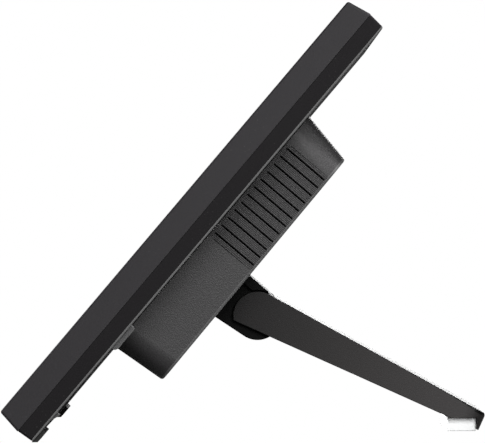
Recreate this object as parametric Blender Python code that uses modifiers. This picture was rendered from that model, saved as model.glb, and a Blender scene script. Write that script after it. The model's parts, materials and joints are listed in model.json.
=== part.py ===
"""Tabletop digital photo frame: a display slab that leans back on a folding leg.

The slab carries a vented housing on its back. A hinge bracket on the housing holds the leg, which
swings on a friction hinge. Two sprung keys sit at the lower right of the slab's back.

Axes: +X to the viewer's right, +Y to the rear, +Z up. The origin is on the desk, under the middle
of the object. Slab pieces are drawn in the slab's own frame, where y is the depth behind the front
face and z is the height up the slab. Leg pieces are drawn in the leg's frame, where y runs from the
hinge axis to the tip and z is square to the leg's underside.
"""
import math

import bmesh
import bpy
from mathutils import Matrix, Vector

# ---- Driving dimensions, in metres and radians ----

WIDTH = 0.375                 # across the slab, at the parting line
HEIGHT = 0.300                # up the slab, at the parting line
RECLINE = math.radians(40.26)  # the slab leans back from the vertical
GAP = 0.0003                  # between pieces that touch or seat on each other
RUN_GAP = 0.0005              # round a piece that moves

# Front bezel
BEZEL_DEPTH = 0.0142
BEZEL_WALL = 0.0026
BEZEL_SIDE_WALL = 0.005
FRONT_INSET = 0.0019          # the front face is smaller than the parting line, sides and bottom
TOP_INSET = 0.0027
SLAB_CORNER = 0.0015
BORDER_SIDE = 0.0325          # from the outer edge to the opening
BORDER_END = 0.033
GLASS_THICK = 0.0020
GLASS_LAP = 0.0095            # how far the pane reaches under the border
MAT_THICK = 0.0008
MAT_REVEAL = 0.003            # mat seen inside the bezel's opening

# Display panel
CELL_THICK = 0.0022
CELL_LAP = 0.007
BACKLIGHT_THICK = 0.0057
BACKLIGHT_LAP = 0.0112
CHASSIS_SHEET = 0.0010
CHASSIS_ROOM = 0.0030         # between the backlight's edge and the chassis flange

# Rear shell
SLAB_DEPTH = 0.0242           # front face to the shell's back
SHELL_STEP = 0.0003           # the shell is this much inside the bezel at the parting line
SHELL_DRAFT = 0.0008
SHELL_WALL = 0.0022
SHELL_SIDE_WALL = 0.0027
SHELL_EDGE = 0.0010
LIP_DEPTH = 0.003             # the shell's lip reaches this far into the bezel
LIP_WALL = 0.002

# Rear housing
HOUSING_WIDTH = 0.240
HOUSING_BOTTOM = 0.0669       # height up the slab
HOUSING_HEIGHT = 0.1706
HOUSING_DEPTH_LOW = 0.0333    # behind the shell's back, at the housing's bottom
HOUSING_DEPTH_HIGH = 0.0316   # and at its top
HOUSING_TOP_DRAFT = 0.0056
HOUSING_BOTTOM_DRAFT = 0.0030
HOUSING_SIDE_DRAFT = 0.0020
HOUSING_CORNER = 0.015
HOUSING_EDGE = 0.0015
HOUSING_WALL = 0.0025
SERVICE_MARGIN = 0.008        # shell left under the housing's rim

# Side vents
VENT_COUNT = 12
VENT_PITCH = 0.00566
VENT_SLOT = 0.0010
VENT_FIRST = 0.0860           # first slot, above the housing's bottom
VENT_START = 0.0020           # behind the shell's back
VENT_REAR_MARGIN = 0.0018     # slot end to the housing's back
BAFFLE_INSET = 0.0125         # rib behind the slots, inside the housing's side
BAFFLE_THICK = 0.0015

# Hinge
HINGE_RISE = 0.0648           # axis above the housing's bottom
HINGE_STANDOFF = 0.0190       # axis behind the housing's back
SHAFT_RADIUS = 0.0040
BARREL_RADIUS = 0.0141
BRACKET_TOP = 0.0148          # above the axis
BRACKET_BOTTOM = 0.0164       # below the axis, where the bracket meets the housing
BRACKET_POCKET = 0.038        # half width of the hollow in the bracket
POCKET_HALF_HEIGHT = 0.0105
POCKET_PAST_AXIS = 0.0092
HOOD_UNDER = 0.0094           # underside of the bracket's hood, above the axis
HOOD_END = 0.0036             # hood's end, in front of the axis
HOOD_STEP = 0.0005            # the hood stands this much proud of the bracket's top
DISC_RADIUS = 0.0085
DISC_THICK = 0.0020
NUT_RADIUS = 0.0070
NUT_THICK = 0.0045
ARM_THICK = 0.0022
ARM_RADIUS = 0.0075
ARM_REACH = 0.058

# Leg
LEG_WIDTH = 0.110
LEG_REACH = 0.1438            # hinge axis to tip
LEG_UNDER = 0.00805           # underside below the axis
LEG_HEAD = 0.0142             # radius of the round end
LEG_TIP_RISE = 0.0025         # top of the tip above the axis line
LEG_CHEEK = 0.0030
LEG_SKIN = 0.0025
LEG_SOLID_TIP = 0.032
LEG_TIP_CORNER = 0.008
COVER_THICK = 0.0030
COVER_START = 0.028
COVER_SCREW_START = 0.010     # from the cover's start
COVER_SCREW_END = 0.012       # from the cover's end
COVER_POST = 0.0034
LIP_CLEARANCE = 0.0005        # the tip's lip stays this far off the desk
LIP_THICK = 0.0011
PAD_LENGTH = 0.0173
NOTCH_HEIGHT = 0.0080         # roof of the pad's notch above the desk

# Feet
FOOT_LENGTH = 0.042
FOOT_PROUD = 0.0023
FOOT_TOP = 0.0095
FOOT_SIDE_INSET = 0.0055
FOOT_LIFT = 0.0005            # the shell's lower edge above the desk

# Keys
KEY_INSET = 0.0135            # key centre line from the slab's side
KEY_DEEP = 0.0036             # inside the shell's back
ROCKER_LENGTH = 0.0172
ROCKER_WIDTH = 0.0090
ROCKER_HEIGHT = 0.0764        # centre, up the slab
ROCKER_PROUD = 0.0029
ROCKER_SLOPE = 0.0015
ROCKER_PIVOT = 0.0017         # pivot in front of the shell's back
POWER_SIZE = 0.0062
POWER_HEIGHT = 0.0187
POWER_PROUD = 0.0019
POWER_FLAT = 0.0012

# Boards and what stands on them
BOARD_THICK = 0.0016
BOARD_DEPTH = 0.0300          # rear face of the housing's boards, from the front
BOARD_MARGIN = 0.0040         # board edge to a screw boss, or to the stand support
TOP_MARGIN = 0.0030           # main board to the housing's top wall
DRIVER_RISE = 0.0090          # driver board's bottom and top, above the housing's bottom
DRIVER_TOP = 0.0300
DRIVER_RIGHT = -0.0120
KEY_BOARD_DEPTH = 0.0164
KEY_BOARD_WIDTH = 0.0110
KEY_BOARD_BELOW = 0.0060      # below the power key's centre
KEY_BOARD_ABOVE = 0.0040      # above the rocker's upper end
SWITCH_HALF = 0.0015
SWITCH_HEIGHT = 0.0009
SWITCH_INSET = 0.0025         # from the rocker's end
SINK_HALF = 0.0240
SINK_HEIGHT = 0.0140
SINK_BASE = 0.0030
SINK_FINS = 7

# Sockets and speakers
MEDIA_RISE = 0.0310           # media board's bottom above the housing's bottom
MEDIA_MARGIN = 0.0012         # media board past the USB socket
SOCKET_SPACE = 0.0020         # from the board's edge to the card slot, and on to the USB socket
SOCKET_BACK = 0.0012          # socket mouth inside the housing's wall
MOUTH_SHARE = 0.9             # depth of a socket's mouth, as a share of the socket's
CARD_WIDTH = 0.0280
CARD_THICK = 0.0037
CARD_DEEP = 0.0265
CARD_SHELL = 0.0006
CARD_SIDE = 0.0017
USB_WIDTH = 0.0131
USB_THICK = 0.0070
USB_DEEP = 0.0150
USB_SHELL = 0.0006
INLET_LEFT = -0.0660
INLET_SIZE = 0.0100
INLET_BORE = 0.0031
INLET_PIN = 0.0009
INLET_DEEP = 0.0120
SPEAKER_SIZE = 0.0400
SPEAKER_DEEP = 0.0110
SPEAKER_SIDE = 0.0030         # from the housing's side wall
CONE_RADIUS = 0.0160
CONE_DEEP = 0.0060

# Stand support
SUPPORT_SIDE = 0.0010         # wider than half the leg by this
SUPPORT_RISE = 0.0280
SUPPORT_FOOT = 0.0080
SUPPORT_SHEET = 0.0020

# Fasteners
SCREW_SHANK = 0.0014
SCREW_HEAD = 0.0029
SCREW_HEAD_HEIGHT = 0.0018
BOSS_RADIUS = 0.0043
SHELL_SCREW_SIDE = 0.0525     # from the slab's side
SHELL_SCREW_END = 0.0135      # from the slab's end
HOUSING_SCREW_SIDE = 0.020    # from the housing's side
HOUSING_SCREW_END = 0.0235    # from the housing's end
HINGE_SCREW_HALF = 0.0435     # from the middle
HINGE_SCREW_RISE = 0.0080     # from the axis
HINGE_SCREW_LENGTH = 0.0140
PILOT_LENGTH = 0.0260         # bracket's pilot holes, centred on the housing's back
HOUSING_SCREW_SEAT = 0.0060   # above the chassis

SMALL_ROUND = 16              # sides of a small round piece
LARGE_ROUND = 32

# ---- Places worked out from the dimensions ----

HALF_WIDTH = WIDTH / 2
MIDDLE = HEIGHT / 2
HOUSING_TOP = HOUSING_BOTTOM + HOUSING_HEIGHT
HINGE_HEIGHT = HOUSING_BOTTOM + HINGE_RISE
SHELL_INSET = SHELL_STEP + SHELL_DRAFT
SHELL_FRONT = BEZEL_DEPTH + GAP
GLASS_FRONT = BEZEL_WALL + GAP
MAT_FRONT = GLASS_FRONT + GLASS_THICK + GAP
CELL_FRONT = MAT_FRONT + MAT_THICK + GAP
BACKLIGHT_FRONT = CELL_FRONT + CELL_THICK + GAP
CHASSIS_INNER = BACKLIGHT_FRONT + BACKLIGHT_THICK + GAP
CHASSIS_BACK = CHASSIS_INNER + CHASSIS_SHEET
OPENING_HALF = HALF_WIDTH - BORDER_SIDE
OPENING_RISE = MIDDLE - BORDER_END
BRACKET_HALF = LEG_WIDTH / 2 - LEG_CHEEK - GAP - ARM_THICK - RUN_GAP
KEY_X = HALF_WIDTH - KEY_INSET
BOARD_Y = (BOARD_DEPTH - BOARD_THICK, BOARD_DEPTH)
ON_BOARD = BOARD_DEPTH + GAP
SIDE_WALL_INNER = HOUSING_WIDTH / 2 - HOUSING_SIDE_DRAFT - HOUSING_WALL
BOARD_HALF = HOUSING_WIDTH / 2 - HOUSING_SCREW_SIDE - BOSS_RADIUS - BOARD_MARGIN
SUPPORT_HALF = LEG_WIDTH / 2 + SUPPORT_SIDE
MEDIA_LOW = HOUSING_BOTTOM + MEDIA_RISE
CARD_Z = (MEDIA_LOW + SOCKET_SPACE, MEDIA_LOW + SOCKET_SPACE + CARD_WIDTH)
USB_Z = (CARD_Z[1] + SOCKET_SPACE, CARD_Z[1] + SOCKET_SPACE + USB_WIDTH)
CARD_MOUTH_Y = (ON_BOARD + CARD_SHELL, ON_BOARD + CARD_THICK - CARD_SHELL)
CARD_MOUTH_Z = (CARD_Z[0] + CARD_SIDE, CARD_Z[1] - CARD_SIDE)
USB_MOUTH_Y = (ON_BOARD + USB_SHELL, ON_BOARD + USB_THICK - USB_SHELL)
USB_MOUTH_Z = (USB_Z[0] + USB_SHELL, USB_Z[1] - USB_SHELL)
INLET_X = (INLET_LEFT, INLET_LEFT + INLET_SIZE)
INLET_Y = (ON_BOARD, ON_BOARD + INLET_SIZE)


def housing_back(height):
    """Depth of the housing's back face at a height up the slab; the face tips slightly."""
    low = HOUSING_BOTTOM + HOUSING_BOTTOM_DRAFT
    high = HOUSING_TOP - HOUSING_TOP_DRAFT
    share = (height - low) / (high - low)
    return SLAB_DEPTH + HOUSING_DEPTH_LOW + share * (HOUSING_DEPTH_HIGH - HOUSING_DEPTH_LOW)


HINGE_DEPTH = housing_back(HINGE_HEIGHT) + HINGE_STANDOFF
# The desk, as a height in the slab's frame turned upright: just under the shell's lower back edge.
DESK = SHELL_INSET * math.cos(RECLINE) - SLAB_DEPTH * math.sin(RECLINE) - FOOT_LIFT
AXIS_Y = HINGE_HEIGHT * math.sin(RECLINE) + HINGE_DEPTH * math.cos(RECLINE)
AXIS_Z = HINGE_HEIGHT * math.cos(RECLINE) - HINGE_DEPTH * math.sin(RECLINE) - DESK
# The leg opens until the lip at its tip is just clear of the desk.
LEG_TILT = (math.asin((AXIS_Z - LIP_CLEARANCE) / math.hypot(LEG_REACH, LEG_UNDER))
            - math.atan2(LEG_UNDER, LEG_REACH))


def desk_height(depth):
    """Height up the slab at which the desk plane meets a given depth."""
    return (DESK + depth * math.sin(RECLINE)) / math.cos(RECLINE)


# ---- Helpers ----

def clear_scene():
    for item in list(bpy.data.objects):
        bpy.data.objects.remove(item)


def new_collection(name):
    collection = bpy.data.collections.new(name)
    bpy.context.scene.collection.children.link(collection)
    return collection


def material(name, colour, roughness, metallic=0.0):
    made = bpy.data.materials.new(name)
    made.use_nodes = True
    shader = made.node_tree.nodes["Principled BSDF"]
    shader.inputs["Base Color"].default_value = (*colour, 1.0)
    shader.inputs["Roughness"].default_value = roughness
    shader.inputs["Metallic"].default_value = metallic
    return made


def empty(name, parent, location, tilt):
    """An empty leaning about X, for pieces that share a frame."""
    made = bpy.data.objects.new(name, None)
    PARTS.objects.link(made)
    made.parent = parent
    made.location = location
    made.rotation_euler = (tilt, 0.0, 0.0)
    return made


def add(name, mesh, parent, finish):
    """A piece in the object's collection, drawn in its parent's frame."""
    made = bpy.data.objects.new(name, mesh)
    PARTS.objects.link(made)
    made.parent = parent
    mesh.materials.append(finish)
    return made


def add_cutter(name, mesh, parent):
    made = bpy.data.objects.new(name, mesh)
    CUTTERS.objects.link(made)
    made.parent = parent
    made.hide_render = True
    made.display_type = 'WIRE'
    return made


def boolean(piece, tool, operation):
    step = piece.modifiers.new(operation.title(), 'BOOLEAN')
    step.operation = operation
    step.object = tool
    step.solver = 'EXACT'


def cut(piece, mesh, parent):
    """Cut a mesh, drawn in the parent's frame, out of a piece."""
    boolean(piece, add_cutter(piece.name + "_cut", mesh, parent), 'DIFFERENCE')


def join(piece, mesh, parent):
    """Join a mesh, drawn in the parent's frame, to a piece."""
    boolean(piece, add_cutter(piece.name + "_join", mesh, parent), 'UNION')


def mesh_from(bm, name):
    mesh = bpy.data.meshes.new(name)
    bm.to_mesh(mesh)
    bm.free()
    return mesh


def add_box(bm, x_range, y_range, z_range):
    size = Vector([high - low for low, high in (x_range, y_range, z_range)])
    centre = Vector([(high + low) / 2 for low, high in (x_range, y_range, z_range)])
    bmesh.ops.create_cube(bm, size=1.0, matrix=Matrix.LocRotScale(centre, None, size))


def boxes(name, *ranges):
    """A mesh of one or more separate boxes, each as three (low, high) ranges."""
    bm = bmesh.new()
    for x_range, y_range, z_range in ranges:
        add_box(bm, x_range, y_range, z_range)
    return mesh_from(bm, name)


def tapered_box(name, front, back, corner=0.0, edge=0.0):
    """A box whose front and back rectangles differ.

    Each rectangle is (half width, bottom, top, depth at the bottom, depth at the top). The corners
    that run front to back are rounded to the corner radius, and the back's rim to the edge radius.
    """
    bm = bmesh.new()
    bmesh.ops.create_cube(bm, size=1.0)
    for vert in bm.verts:
        half, low, high, depth_low, depth_high = front if vert.co.y < 0 else back
        below = vert.co.z < 0
        vert.co = (math.copysign(half, vert.co.x),
                   depth_low if below else depth_high,
                   low if below else high)
    if corner:
        long_edges = [e for e in bm.edges
                      if abs(e.verts[0].co.y - e.verts[1].co.y) > 0.5 * abs(front[3] - back[3])]
        bmesh.ops.bevel(bm, geom=long_edges, offset=corner, offset_type='OFFSET', segments=4,
                        profile=0.5, affect='EDGES', material=-1)
    if edge:
        bm.normal_update()
        rim = [e for e in bm.edges if any(f.normal.y > 0.9 for f in e.link_faces)
               and any(f.normal.y < 0.5 for f in e.link_faces)]
        bmesh.ops.bevel(bm, geom=rim, offset=edge, offset_type='OFFSET', segments=2,
                        profile=0.5, affect='EDGES', material=-1)
    return mesh_from(bm, name)


def add_cylinder(bm, radius, centre, length, axis, sides=SMALL_ROUND):
    """A cylinder along X or Y, centred on a point."""
    turn = {'X': Matrix.Rotation(math.radians(90), 4, 'Y'),
            'Y': Matrix.Rotation(math.radians(90), 4, 'X')}[axis]
    bmesh.ops.create_cone(bm, cap_ends=True, segments=sides, radius1=radius, radius2=radius,
                          depth=length, matrix=Matrix.Translation(centre) @ turn)


def cylinders(name, radius, centres, length, axis, sides=SMALL_ROUND):
    bm = bmesh.new()
    for centre in centres:
        add_cylinder(bm, radius, Vector(centre), length, axis, sides)
    return mesh_from(bm, name)


def arc(centre, radius, start, end, count):
    """Points round an arc; angles in degrees from +y towards +z."""
    points = []
    for step in range(count + 1):
        angle = math.radians(start + (end - start) * step / count)
        points.append((centre[0] + radius * math.cos(angle), centre[1] + radius * math.sin(angle)))
    return points


def outline(name, points, x_range):
    """A flat outline in y and z, given a thickness across x, as a closed mesh."""
    curve = bpy.data.curves.new(name, 'CURVE')
    curve.dimensions = '2D'
    curve.fill_mode = 'BOTH'
    curve.extrude = (x_range[1] - x_range[0]) / 2
    spline = curve.splines.new('POLY')
    spline.points.add(len(points) - 1)
    for point, (y, z) in zip(spline.points, points):
        point.co = (y, z, 0.0, 1.0)
    spline.use_cyclic_u = True
    holder = bpy.data.objects.new(name, curve)
    PARTS.objects.link(holder)
    mesh = bpy.data.meshes.new_from_object(
        holder.evaluated_get(bpy.context.evaluated_depsgraph_get()))
    bpy.data.objects.remove(holder)
    bm = bmesh.new()
    bm.from_mesh(mesh)
    bmesh.ops.remove_doubles(bm, verts=bm.verts, dist=0.00001)
    # The curve's x, y and extrusion become the piece's y, z and x.
    side_on = Matrix(((0, 0, 1, (x_range[0] + x_range[1]) / 2), (1, 0, 0, 0), (0, 1, 0, 0),
                      (0, 0, 0, 1)))
    bm.transform(side_on)
    bmesh.ops.recalc_face_normals(bm, faces=bm.faces)
    bm.to_mesh(mesh)
    bm.free()
    return mesh


def turned(name, profile, parent, finish, location, tilt):
    """A turned piece: a (radius, height) profile run down its outer side, top to bottom."""
    mesh = bpy.data.meshes.new(name)
    mesh.from_pydata([(radius, 0.0, height) for radius, height in profile],
                     [(i, i + 1) for i in range(len(profile) - 1)], [])
    piece = add(name, mesh, parent, finish)
    piece.location = location
    piece.rotation_euler = (tilt, 0.0, 0.0)
    screw = piece.modifiers.new("Turn", 'SCREW')
    screw.steps = 8
    screw.render_steps = 8
    screw.use_merge_vertices = True
    screw.merge_threshold = 0.00001
    return piece


def screw_piece(name, parent, finish, head_seat, length, tilt=math.radians(-90)):
    """A pan-head screw. Its head sits on head_seat; its shank runs on, against its local +z."""
    return turned(name, [(0.0, SCREW_HEAD_HEIGHT), (0.8 * SCREW_HEAD, SCREW_HEAD_HEIGHT),
                         (SCREW_HEAD, 0.6 * SCREW_HEAD_HEIGHT), (SCREW_HEAD, 0.0),
                         (SCREW_SHANK, 0.0), (SCREW_SHANK, -length), (0.0, -length)],
                  parent, finish, head_seat, tilt)


def grid(side, low, high):
    """Four points, left and right at two heights."""
    return [(x, z) for x in (-side, side) for z in (low, high)]


# ---- Slab: bezel, pane, panel and shell ----

def make_front_bezel():
    bezel = add("front_bezel", tapered_box(
        "front_bezel",
        (HALF_WIDTH - FRONT_INSET, FRONT_INSET, HEIGHT - TOP_INSET, 0.0, 0.0),
        (HALF_WIDTH, 0.0, HEIGHT, BEZEL_DEPTH, BEZEL_DEPTH), corner=SLAB_CORNER), SLAB, BLACK_BEZEL)
    inner = HALF_WIDTH - BEZEL_SIDE_WALL
    cut(bezel, boxes("bezel_hollow", ((-inner, inner), (BEZEL_WALL, 2 * BEZEL_DEPTH),
                                      (BEZEL_SIDE_WALL, HEIGHT - BEZEL_SIDE_WALL))), SLAB)
    cut(bezel, boxes("bezel_opening", ((-OPENING_HALF, OPENING_HALF), (-BEZEL_DEPTH, BEZEL_DEPTH),
                                       (MIDDLE - OPENING_RISE, MIDDLE + OPENING_RISE))), SLAB)
    middle = (BEZEL_WALL / 2 + BEZEL_DEPTH - GAP) / 2
    places = [(x, middle, z) for x, z in shell_screw_places()]
    join(bezel, cylinders("bezel_bosses", BOSS_RADIUS, places, 2 * middle - BEZEL_WALL, 'Y'), SLAB)
    holes = [(x, BEZEL_DEPTH, z) for x, z in shell_screw_places()]
    cut(bezel, cylinders("bezel_pilots", SCREW_SHANK + GAP, holes, 1.4 * BEZEL_DEPTH, 'Y'), SLAB)


def shell_screw_places():
    return grid(HALF_WIDTH - SHELL_SCREW_SIDE, SHELL_SCREW_END, HEIGHT - SHELL_SCREW_END)


def sheet(name, lap, front, thickness, finish):
    """A rectangular layer behind the bezel's opening, reaching under its border by a lap."""
    half = OPENING_HALF + lap
    rise = OPENING_RISE + lap
    return add(name, boxes(name, ((-half, half), (front, front + thickness),
                                  (MIDDLE - rise, MIDDLE + rise))), SLAB, finish)


def make_display():
    sheet("window_glass", GLASS_LAP, GLASS_FRONT, GLASS_THICK, CLEAR_GLASS)
    mat = sheet("picture_mat", GLASS_LAP, MAT_FRONT, MAT_THICK, BLACK_CARD)
    half = OPENING_HALF - MAT_REVEAL
    rise = OPENING_RISE - MAT_REVEAL
    cut(mat, boxes("mat_opening", ((-half, half), (0.0, BEZEL_DEPTH),
                                   (MIDDLE - rise, MIDDLE + rise))), SLAB)
    sheet("lcd_cell", CELL_LAP, CELL_FRONT, CELL_THICK, SCREEN)
    sheet("backlight_unit", BACKLIGHT_LAP, BACKLIGHT_FRONT, BACKLIGHT_THICK, WHITE_PLASTIC)


def make_panel_chassis():
    """A pressed steel tray that holds the panel and carries the boards and the stand."""
    chassis = sheet("panel_chassis", BACKLIGHT_LAP + CHASSIS_ROOM + CHASSIS_SHEET, BACKLIGHT_FRONT,
                    CHASSIS_BACK - BACKLIGHT_FRONT, STEEL)
    half = OPENING_HALF + BACKLIGHT_LAP + CHASSIS_ROOM
    rise = OPENING_RISE + BACKLIGHT_LAP + CHASSIS_ROOM
    cut(chassis, boxes("chassis_hollow", ((-half, half), (0.0, CHASSIS_INNER),
                                          (MIDDLE - rise, MIDDLE + rise))), SLAB)
    holes = [(x, CHASSIS_BACK, z) for x, z in housing_screw_places()]
    cut(chassis, cylinders("chassis_holes", SCREW_SHANK + GAP, holes, 4 * CHASSIS_SHEET, 'Y'), SLAB)


def make_rear_shell():
    half = HALF_WIDTH - SHELL_STEP
    shell = add("rear_shell", tapered_box(
        "rear_shell", (half, SHELL_STEP, HEIGHT - SHELL_STEP, SHELL_FRONT, SHELL_FRONT),
        (half - SHELL_DRAFT, SHELL_INSET, HEIGHT - SHELL_INSET, SLAB_DEPTH, SLAB_DEPTH),
        corner=SLAB_CORNER, edge=SHELL_EDGE), SLAB, BLACK_SHELL)
    inset = BEZEL_SIDE_WALL + GAP
    lip_half = HALF_WIDTH - inset
    overlap = SHELL_FRONT + LIP_DEPTH / 2
    join(shell, boxes("shell_lip", ((-lip_half, lip_half), (SHELL_FRONT - LIP_DEPTH, overlap),
                                    (inset, HEIGHT - inset))), SLAB)
    mouth = inset + LIP_WALL
    cut(shell, boxes("shell_mouth", ((-lip_half + LIP_WALL, lip_half - LIP_WALL),
                                     (0.0, SLAB_DEPTH - SHELL_WALL), (mouth, HEIGHT - mouth))), SLAB)
    wide = HALF_WIDTH - SHELL_SIDE_WALL
    low = SHELL_SIDE_WALL
    cut(shell, boxes("shell_hollow", ((-wide, wide), (overlap + LIP_WALL / 2, SLAB_DEPTH - SHELL_WALL),
                                      (low, HEIGHT - low))), SLAB)
    places = shell_screw_places()
    seat = SLAB_DEPTH - 2 * SCREW_HEAD_HEIGHT
    boss_middle = (SHELL_FRONT + SLAB_DEPTH - SHELL_WALL / 2) / 2
    join(shell, cylinders("shell_bosses", BOSS_RADIUS, [(x, boss_middle, z) for x, z in places],
                          SLAB_DEPTH - SHELL_WALL / 2 - SHELL_FRONT, 'Y'), SLAB)
    cut(shell, cylinders("shell_holes", SCREW_SHANK + GAP, [(x, boss_middle, z) for x, z in places],
                         SLAB_DEPTH, 'Y'), SLAB)
    cut(shell, cylinders("shell_counterbores", SCREW_HEAD + GAP,
                         [(x, seat + SLAB_DEPTH / 2, z) for x, z in places], SLAB_DEPTH, 'Y'), SLAB)
    side = HOUSING_WIDTH / 2 - SERVICE_MARGIN
    slack = ROCKER_WIDTH / 2 + RUN_GAP
    length = ROCKER_LENGTH / 2 + RUN_GAP
    power = POWER_SIZE / 2 + RUN_GAP
    through = (SLAB_DEPTH - 2 * SHELL_WALL, SLAB_DEPTH + SHELL_WALL)
    cut(shell, boxes("shell_openings",
                     ((-side, side), through,
                      (HOUSING_BOTTOM + SERVICE_MARGIN, HOUSING_TOP - SERVICE_MARGIN)),
                     ((KEY_X - slack, KEY_X + slack), through,
                      (ROCKER_HEIGHT - length, ROCKER_HEIGHT + length)),
                     ((KEY_X - power, KEY_X + power), through,
                      (POWER_HEIGHT - power, POWER_HEIGHT + power))), SLAB)
    for number, (x, z) in enumerate(places, 1):
        screw_piece(f"shell_screw_{number}", SLAB, ZINC, (x, seat + GAP, z), BEZEL_DEPTH / 2)


# ---- Rear housing and what it covers ----

def housing_screw_places():
    return grid(HOUSING_WIDTH / 2 - HOUSING_SCREW_SIDE, HOUSING_BOTTOM + HOUSING_SCREW_END,
                HOUSING_TOP - HOUSING_SCREW_END)


def housing_solid(name, shrink, front, corner, edge):
    """The housing's outer form, or its hollow when shrunk by the wall."""
    back_low = HOUSING_BOTTOM + HOUSING_BOTTOM_DRAFT + shrink
    back_high = HOUSING_TOP - HOUSING_TOP_DRAFT - shrink
    half = HOUSING_WIDTH / 2 - shrink
    return tapered_box(name, (half, HOUSING_BOTTOM + shrink, HOUSING_TOP - shrink, front, front),
                       (half - HOUSING_SIDE_DRAFT, back_low, back_high,
                        housing_back(back_low) - shrink, housing_back(back_high) - shrink),
                       corner=corner, edge=edge)


def make_rear_housing():
    rim = SLAB_DEPTH + GAP
    housing = add("rear_housing", housing_solid("rear_housing", 0.0, rim, HOUSING_CORNER,
                                                HOUSING_EDGE), SLAB, GREY_HOUSING)
    cut(housing, housing_solid("housing_hollow", HOUSING_WALL, rim - HOUSING_WALL,
                               HOUSING_CORNER - HOUSING_WALL, 0.0), SLAB)
    places = housing_screw_places()
    boss_front = CHASSIS_BACK + GAP
    bosses = bmesh.new()
    for x, z in places:
        boss_back = housing_back(z) - HOUSING_WALL / 2
        add_cylinder(bosses, BOSS_RADIUS, Vector((x, (boss_front + boss_back) / 2, z)),
                     boss_back - boss_front, 'Y')
    join(housing, mesh_from(bosses, "housing_bosses"), SLAB)
    seat = CHASSIS_BACK + HOUSING_SCREW_SEAT
    cut(housing, cylinders("housing_holes", SCREW_SHANK + GAP, [(x, seat, z) for x, z in places],
                           SLAB_DEPTH, 'Y'), SLAB)
    cut(housing, cylinders("housing_counterbores", SCREW_HEAD + GAP,
                           [(x, seat + SLAB_DEPTH, z) for x, z in places], 2 * SLAB_DEPTH, 'Y'), SLAB)
    cut(housing, vent_slots(), SLAB)
    join(housing, baffles(), SLAB)
    wall_x = (-0.6 * HOUSING_WIDTH, -HOUSING_WIDTH / 2 + 2 * HOUSING_WALL)
    cut(housing, boxes("socket_openings", (wall_x, CARD_MOUTH_Y, CARD_MOUTH_Z),
                       (wall_x, USB_MOUTH_Y, USB_MOUTH_Z)), SLAB)
    cut(housing, boxes("inlet_opening", (INLET_X, INLET_Y, (0.0, HOUSING_BOTTOM + 3 * HOUSING_WALL))),
        SLAB)
    hinge_places = [(x, HINGE_DEPTH - HINGE_STANDOFF, HINGE_HEIGHT + z) for x, z in hinge_screw_offsets()]
    cut(housing, cylinders("hinge_holes", SCREW_SHANK + GAP, hinge_places, 4 * HOUSING_WALL, 'Y'), SLAB)
    for number, (x, z) in enumerate(places, 1):
        screw_piece(f"housing_screw_{number}", SLAB, ZINC, (x, seat + GAP, z),
                    HOUSING_SCREW_SEAT + CHASSIS_SHEET)


def vent_slots():
    """Slots through both side walls, in an even row up the housing."""
    bm = bmesh.new()
    inner = HOUSING_WIDTH / 2 - HOUSING_SIDE_DRAFT - 2 * HOUSING_WALL
    outer = 0.6 * HOUSING_WIDTH
    for number in range(VENT_COUNT):
        centre = HOUSING_BOTTOM + VENT_FIRST + number * VENT_PITCH
        depth = (SLAB_DEPTH + VENT_START, housing_back(centre) - VENT_REAR_MARGIN)
        height = (centre - VENT_SLOT / 2, centre + VENT_SLOT / 2)
        add_box(bm, (inner, outer), depth, height)
        add_box(bm, (-outer, -inner), depth, height)
    return mesh_from(bm, "vent_slots")


def baffles():
    """A rib behind each row of slots, standing on the back wall, that keeps light and dust out."""
    low = HOUSING_BOTTOM + VENT_FIRST - VENT_PITCH
    high = HOUSING_BOTTOM + VENT_FIRST + VENT_COUNT * VENT_PITCH
    outer = HOUSING_WIDTH / 2 - BAFFLE_INSET
    depth = (SLAB_DEPTH + VENT_START, housing_back(high) - HOUSING_WALL / 2)
    return boxes("baffles", ((outer - BAFFLE_THICK, outer), depth, (low, high)),
                 ((-outer, -outer + BAFFLE_THICK), depth, (low, high)))


def board(name, left, right, low, high):
    return add(name, boxes(name, ((left, right), BOARD_Y, (low, high))), SLAB, GREEN_BOARD)


def make_boards():
    """Boards that stand on the chassis behind the slab."""
    upper_low = HINGE_HEIGHT + SUPPORT_RISE + BOARD_MARGIN
    upper_high = HOUSING_TOP - HOUSING_TOP_DRAFT - HOUSING_WALL - TOP_MARGIN
    board("main_board", -BOARD_HALF, BOARD_HALF, upper_low, upper_high)
    board("driver_board", -BOARD_HALF, DRIVER_RIGHT, HOUSING_BOTTOM + DRIVER_RISE,
          HOUSING_BOTTOM + DRIVER_TOP)
    board("media_board", -SIDE_WALL_INNER + SOCKET_SPACE, -SUPPORT_HALF - SUPPORT_FOOT - SOCKET_SPACE,
          MEDIA_LOW, USB_Z[1] + MEDIA_MARGIN)
    make_heat_sink((upper_low + upper_high) / 2)
    make_key_board()


def make_heat_sink(height):
    """A finned block on the main board, inside the run of vents."""
    top = ON_BOARD + SINK_HEIGHT
    sink = add("heat_sink", boxes("heat_sink", ((-SINK_HALF, SINK_HALF), (ON_BOARD, top),
                                                (height - SINK_HALF, height + SINK_HALF))),
               SLAB, ALUMINIUM)
    pitch = 2 * SINK_HALF / SINK_FINS
    channels = []
    for number in range(1, SINK_FINS):
        x = -SINK_HALF + number * pitch
        channels.append(((x - pitch / 3, x + pitch / 3), (ON_BOARD + SINK_BASE, top + SINK_BASE),
                         (height - 2 * SINK_HALF, height + 2 * SINK_HALF)))
    cut(sink, boxes("fin_channels", *channels), SLAB)


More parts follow.
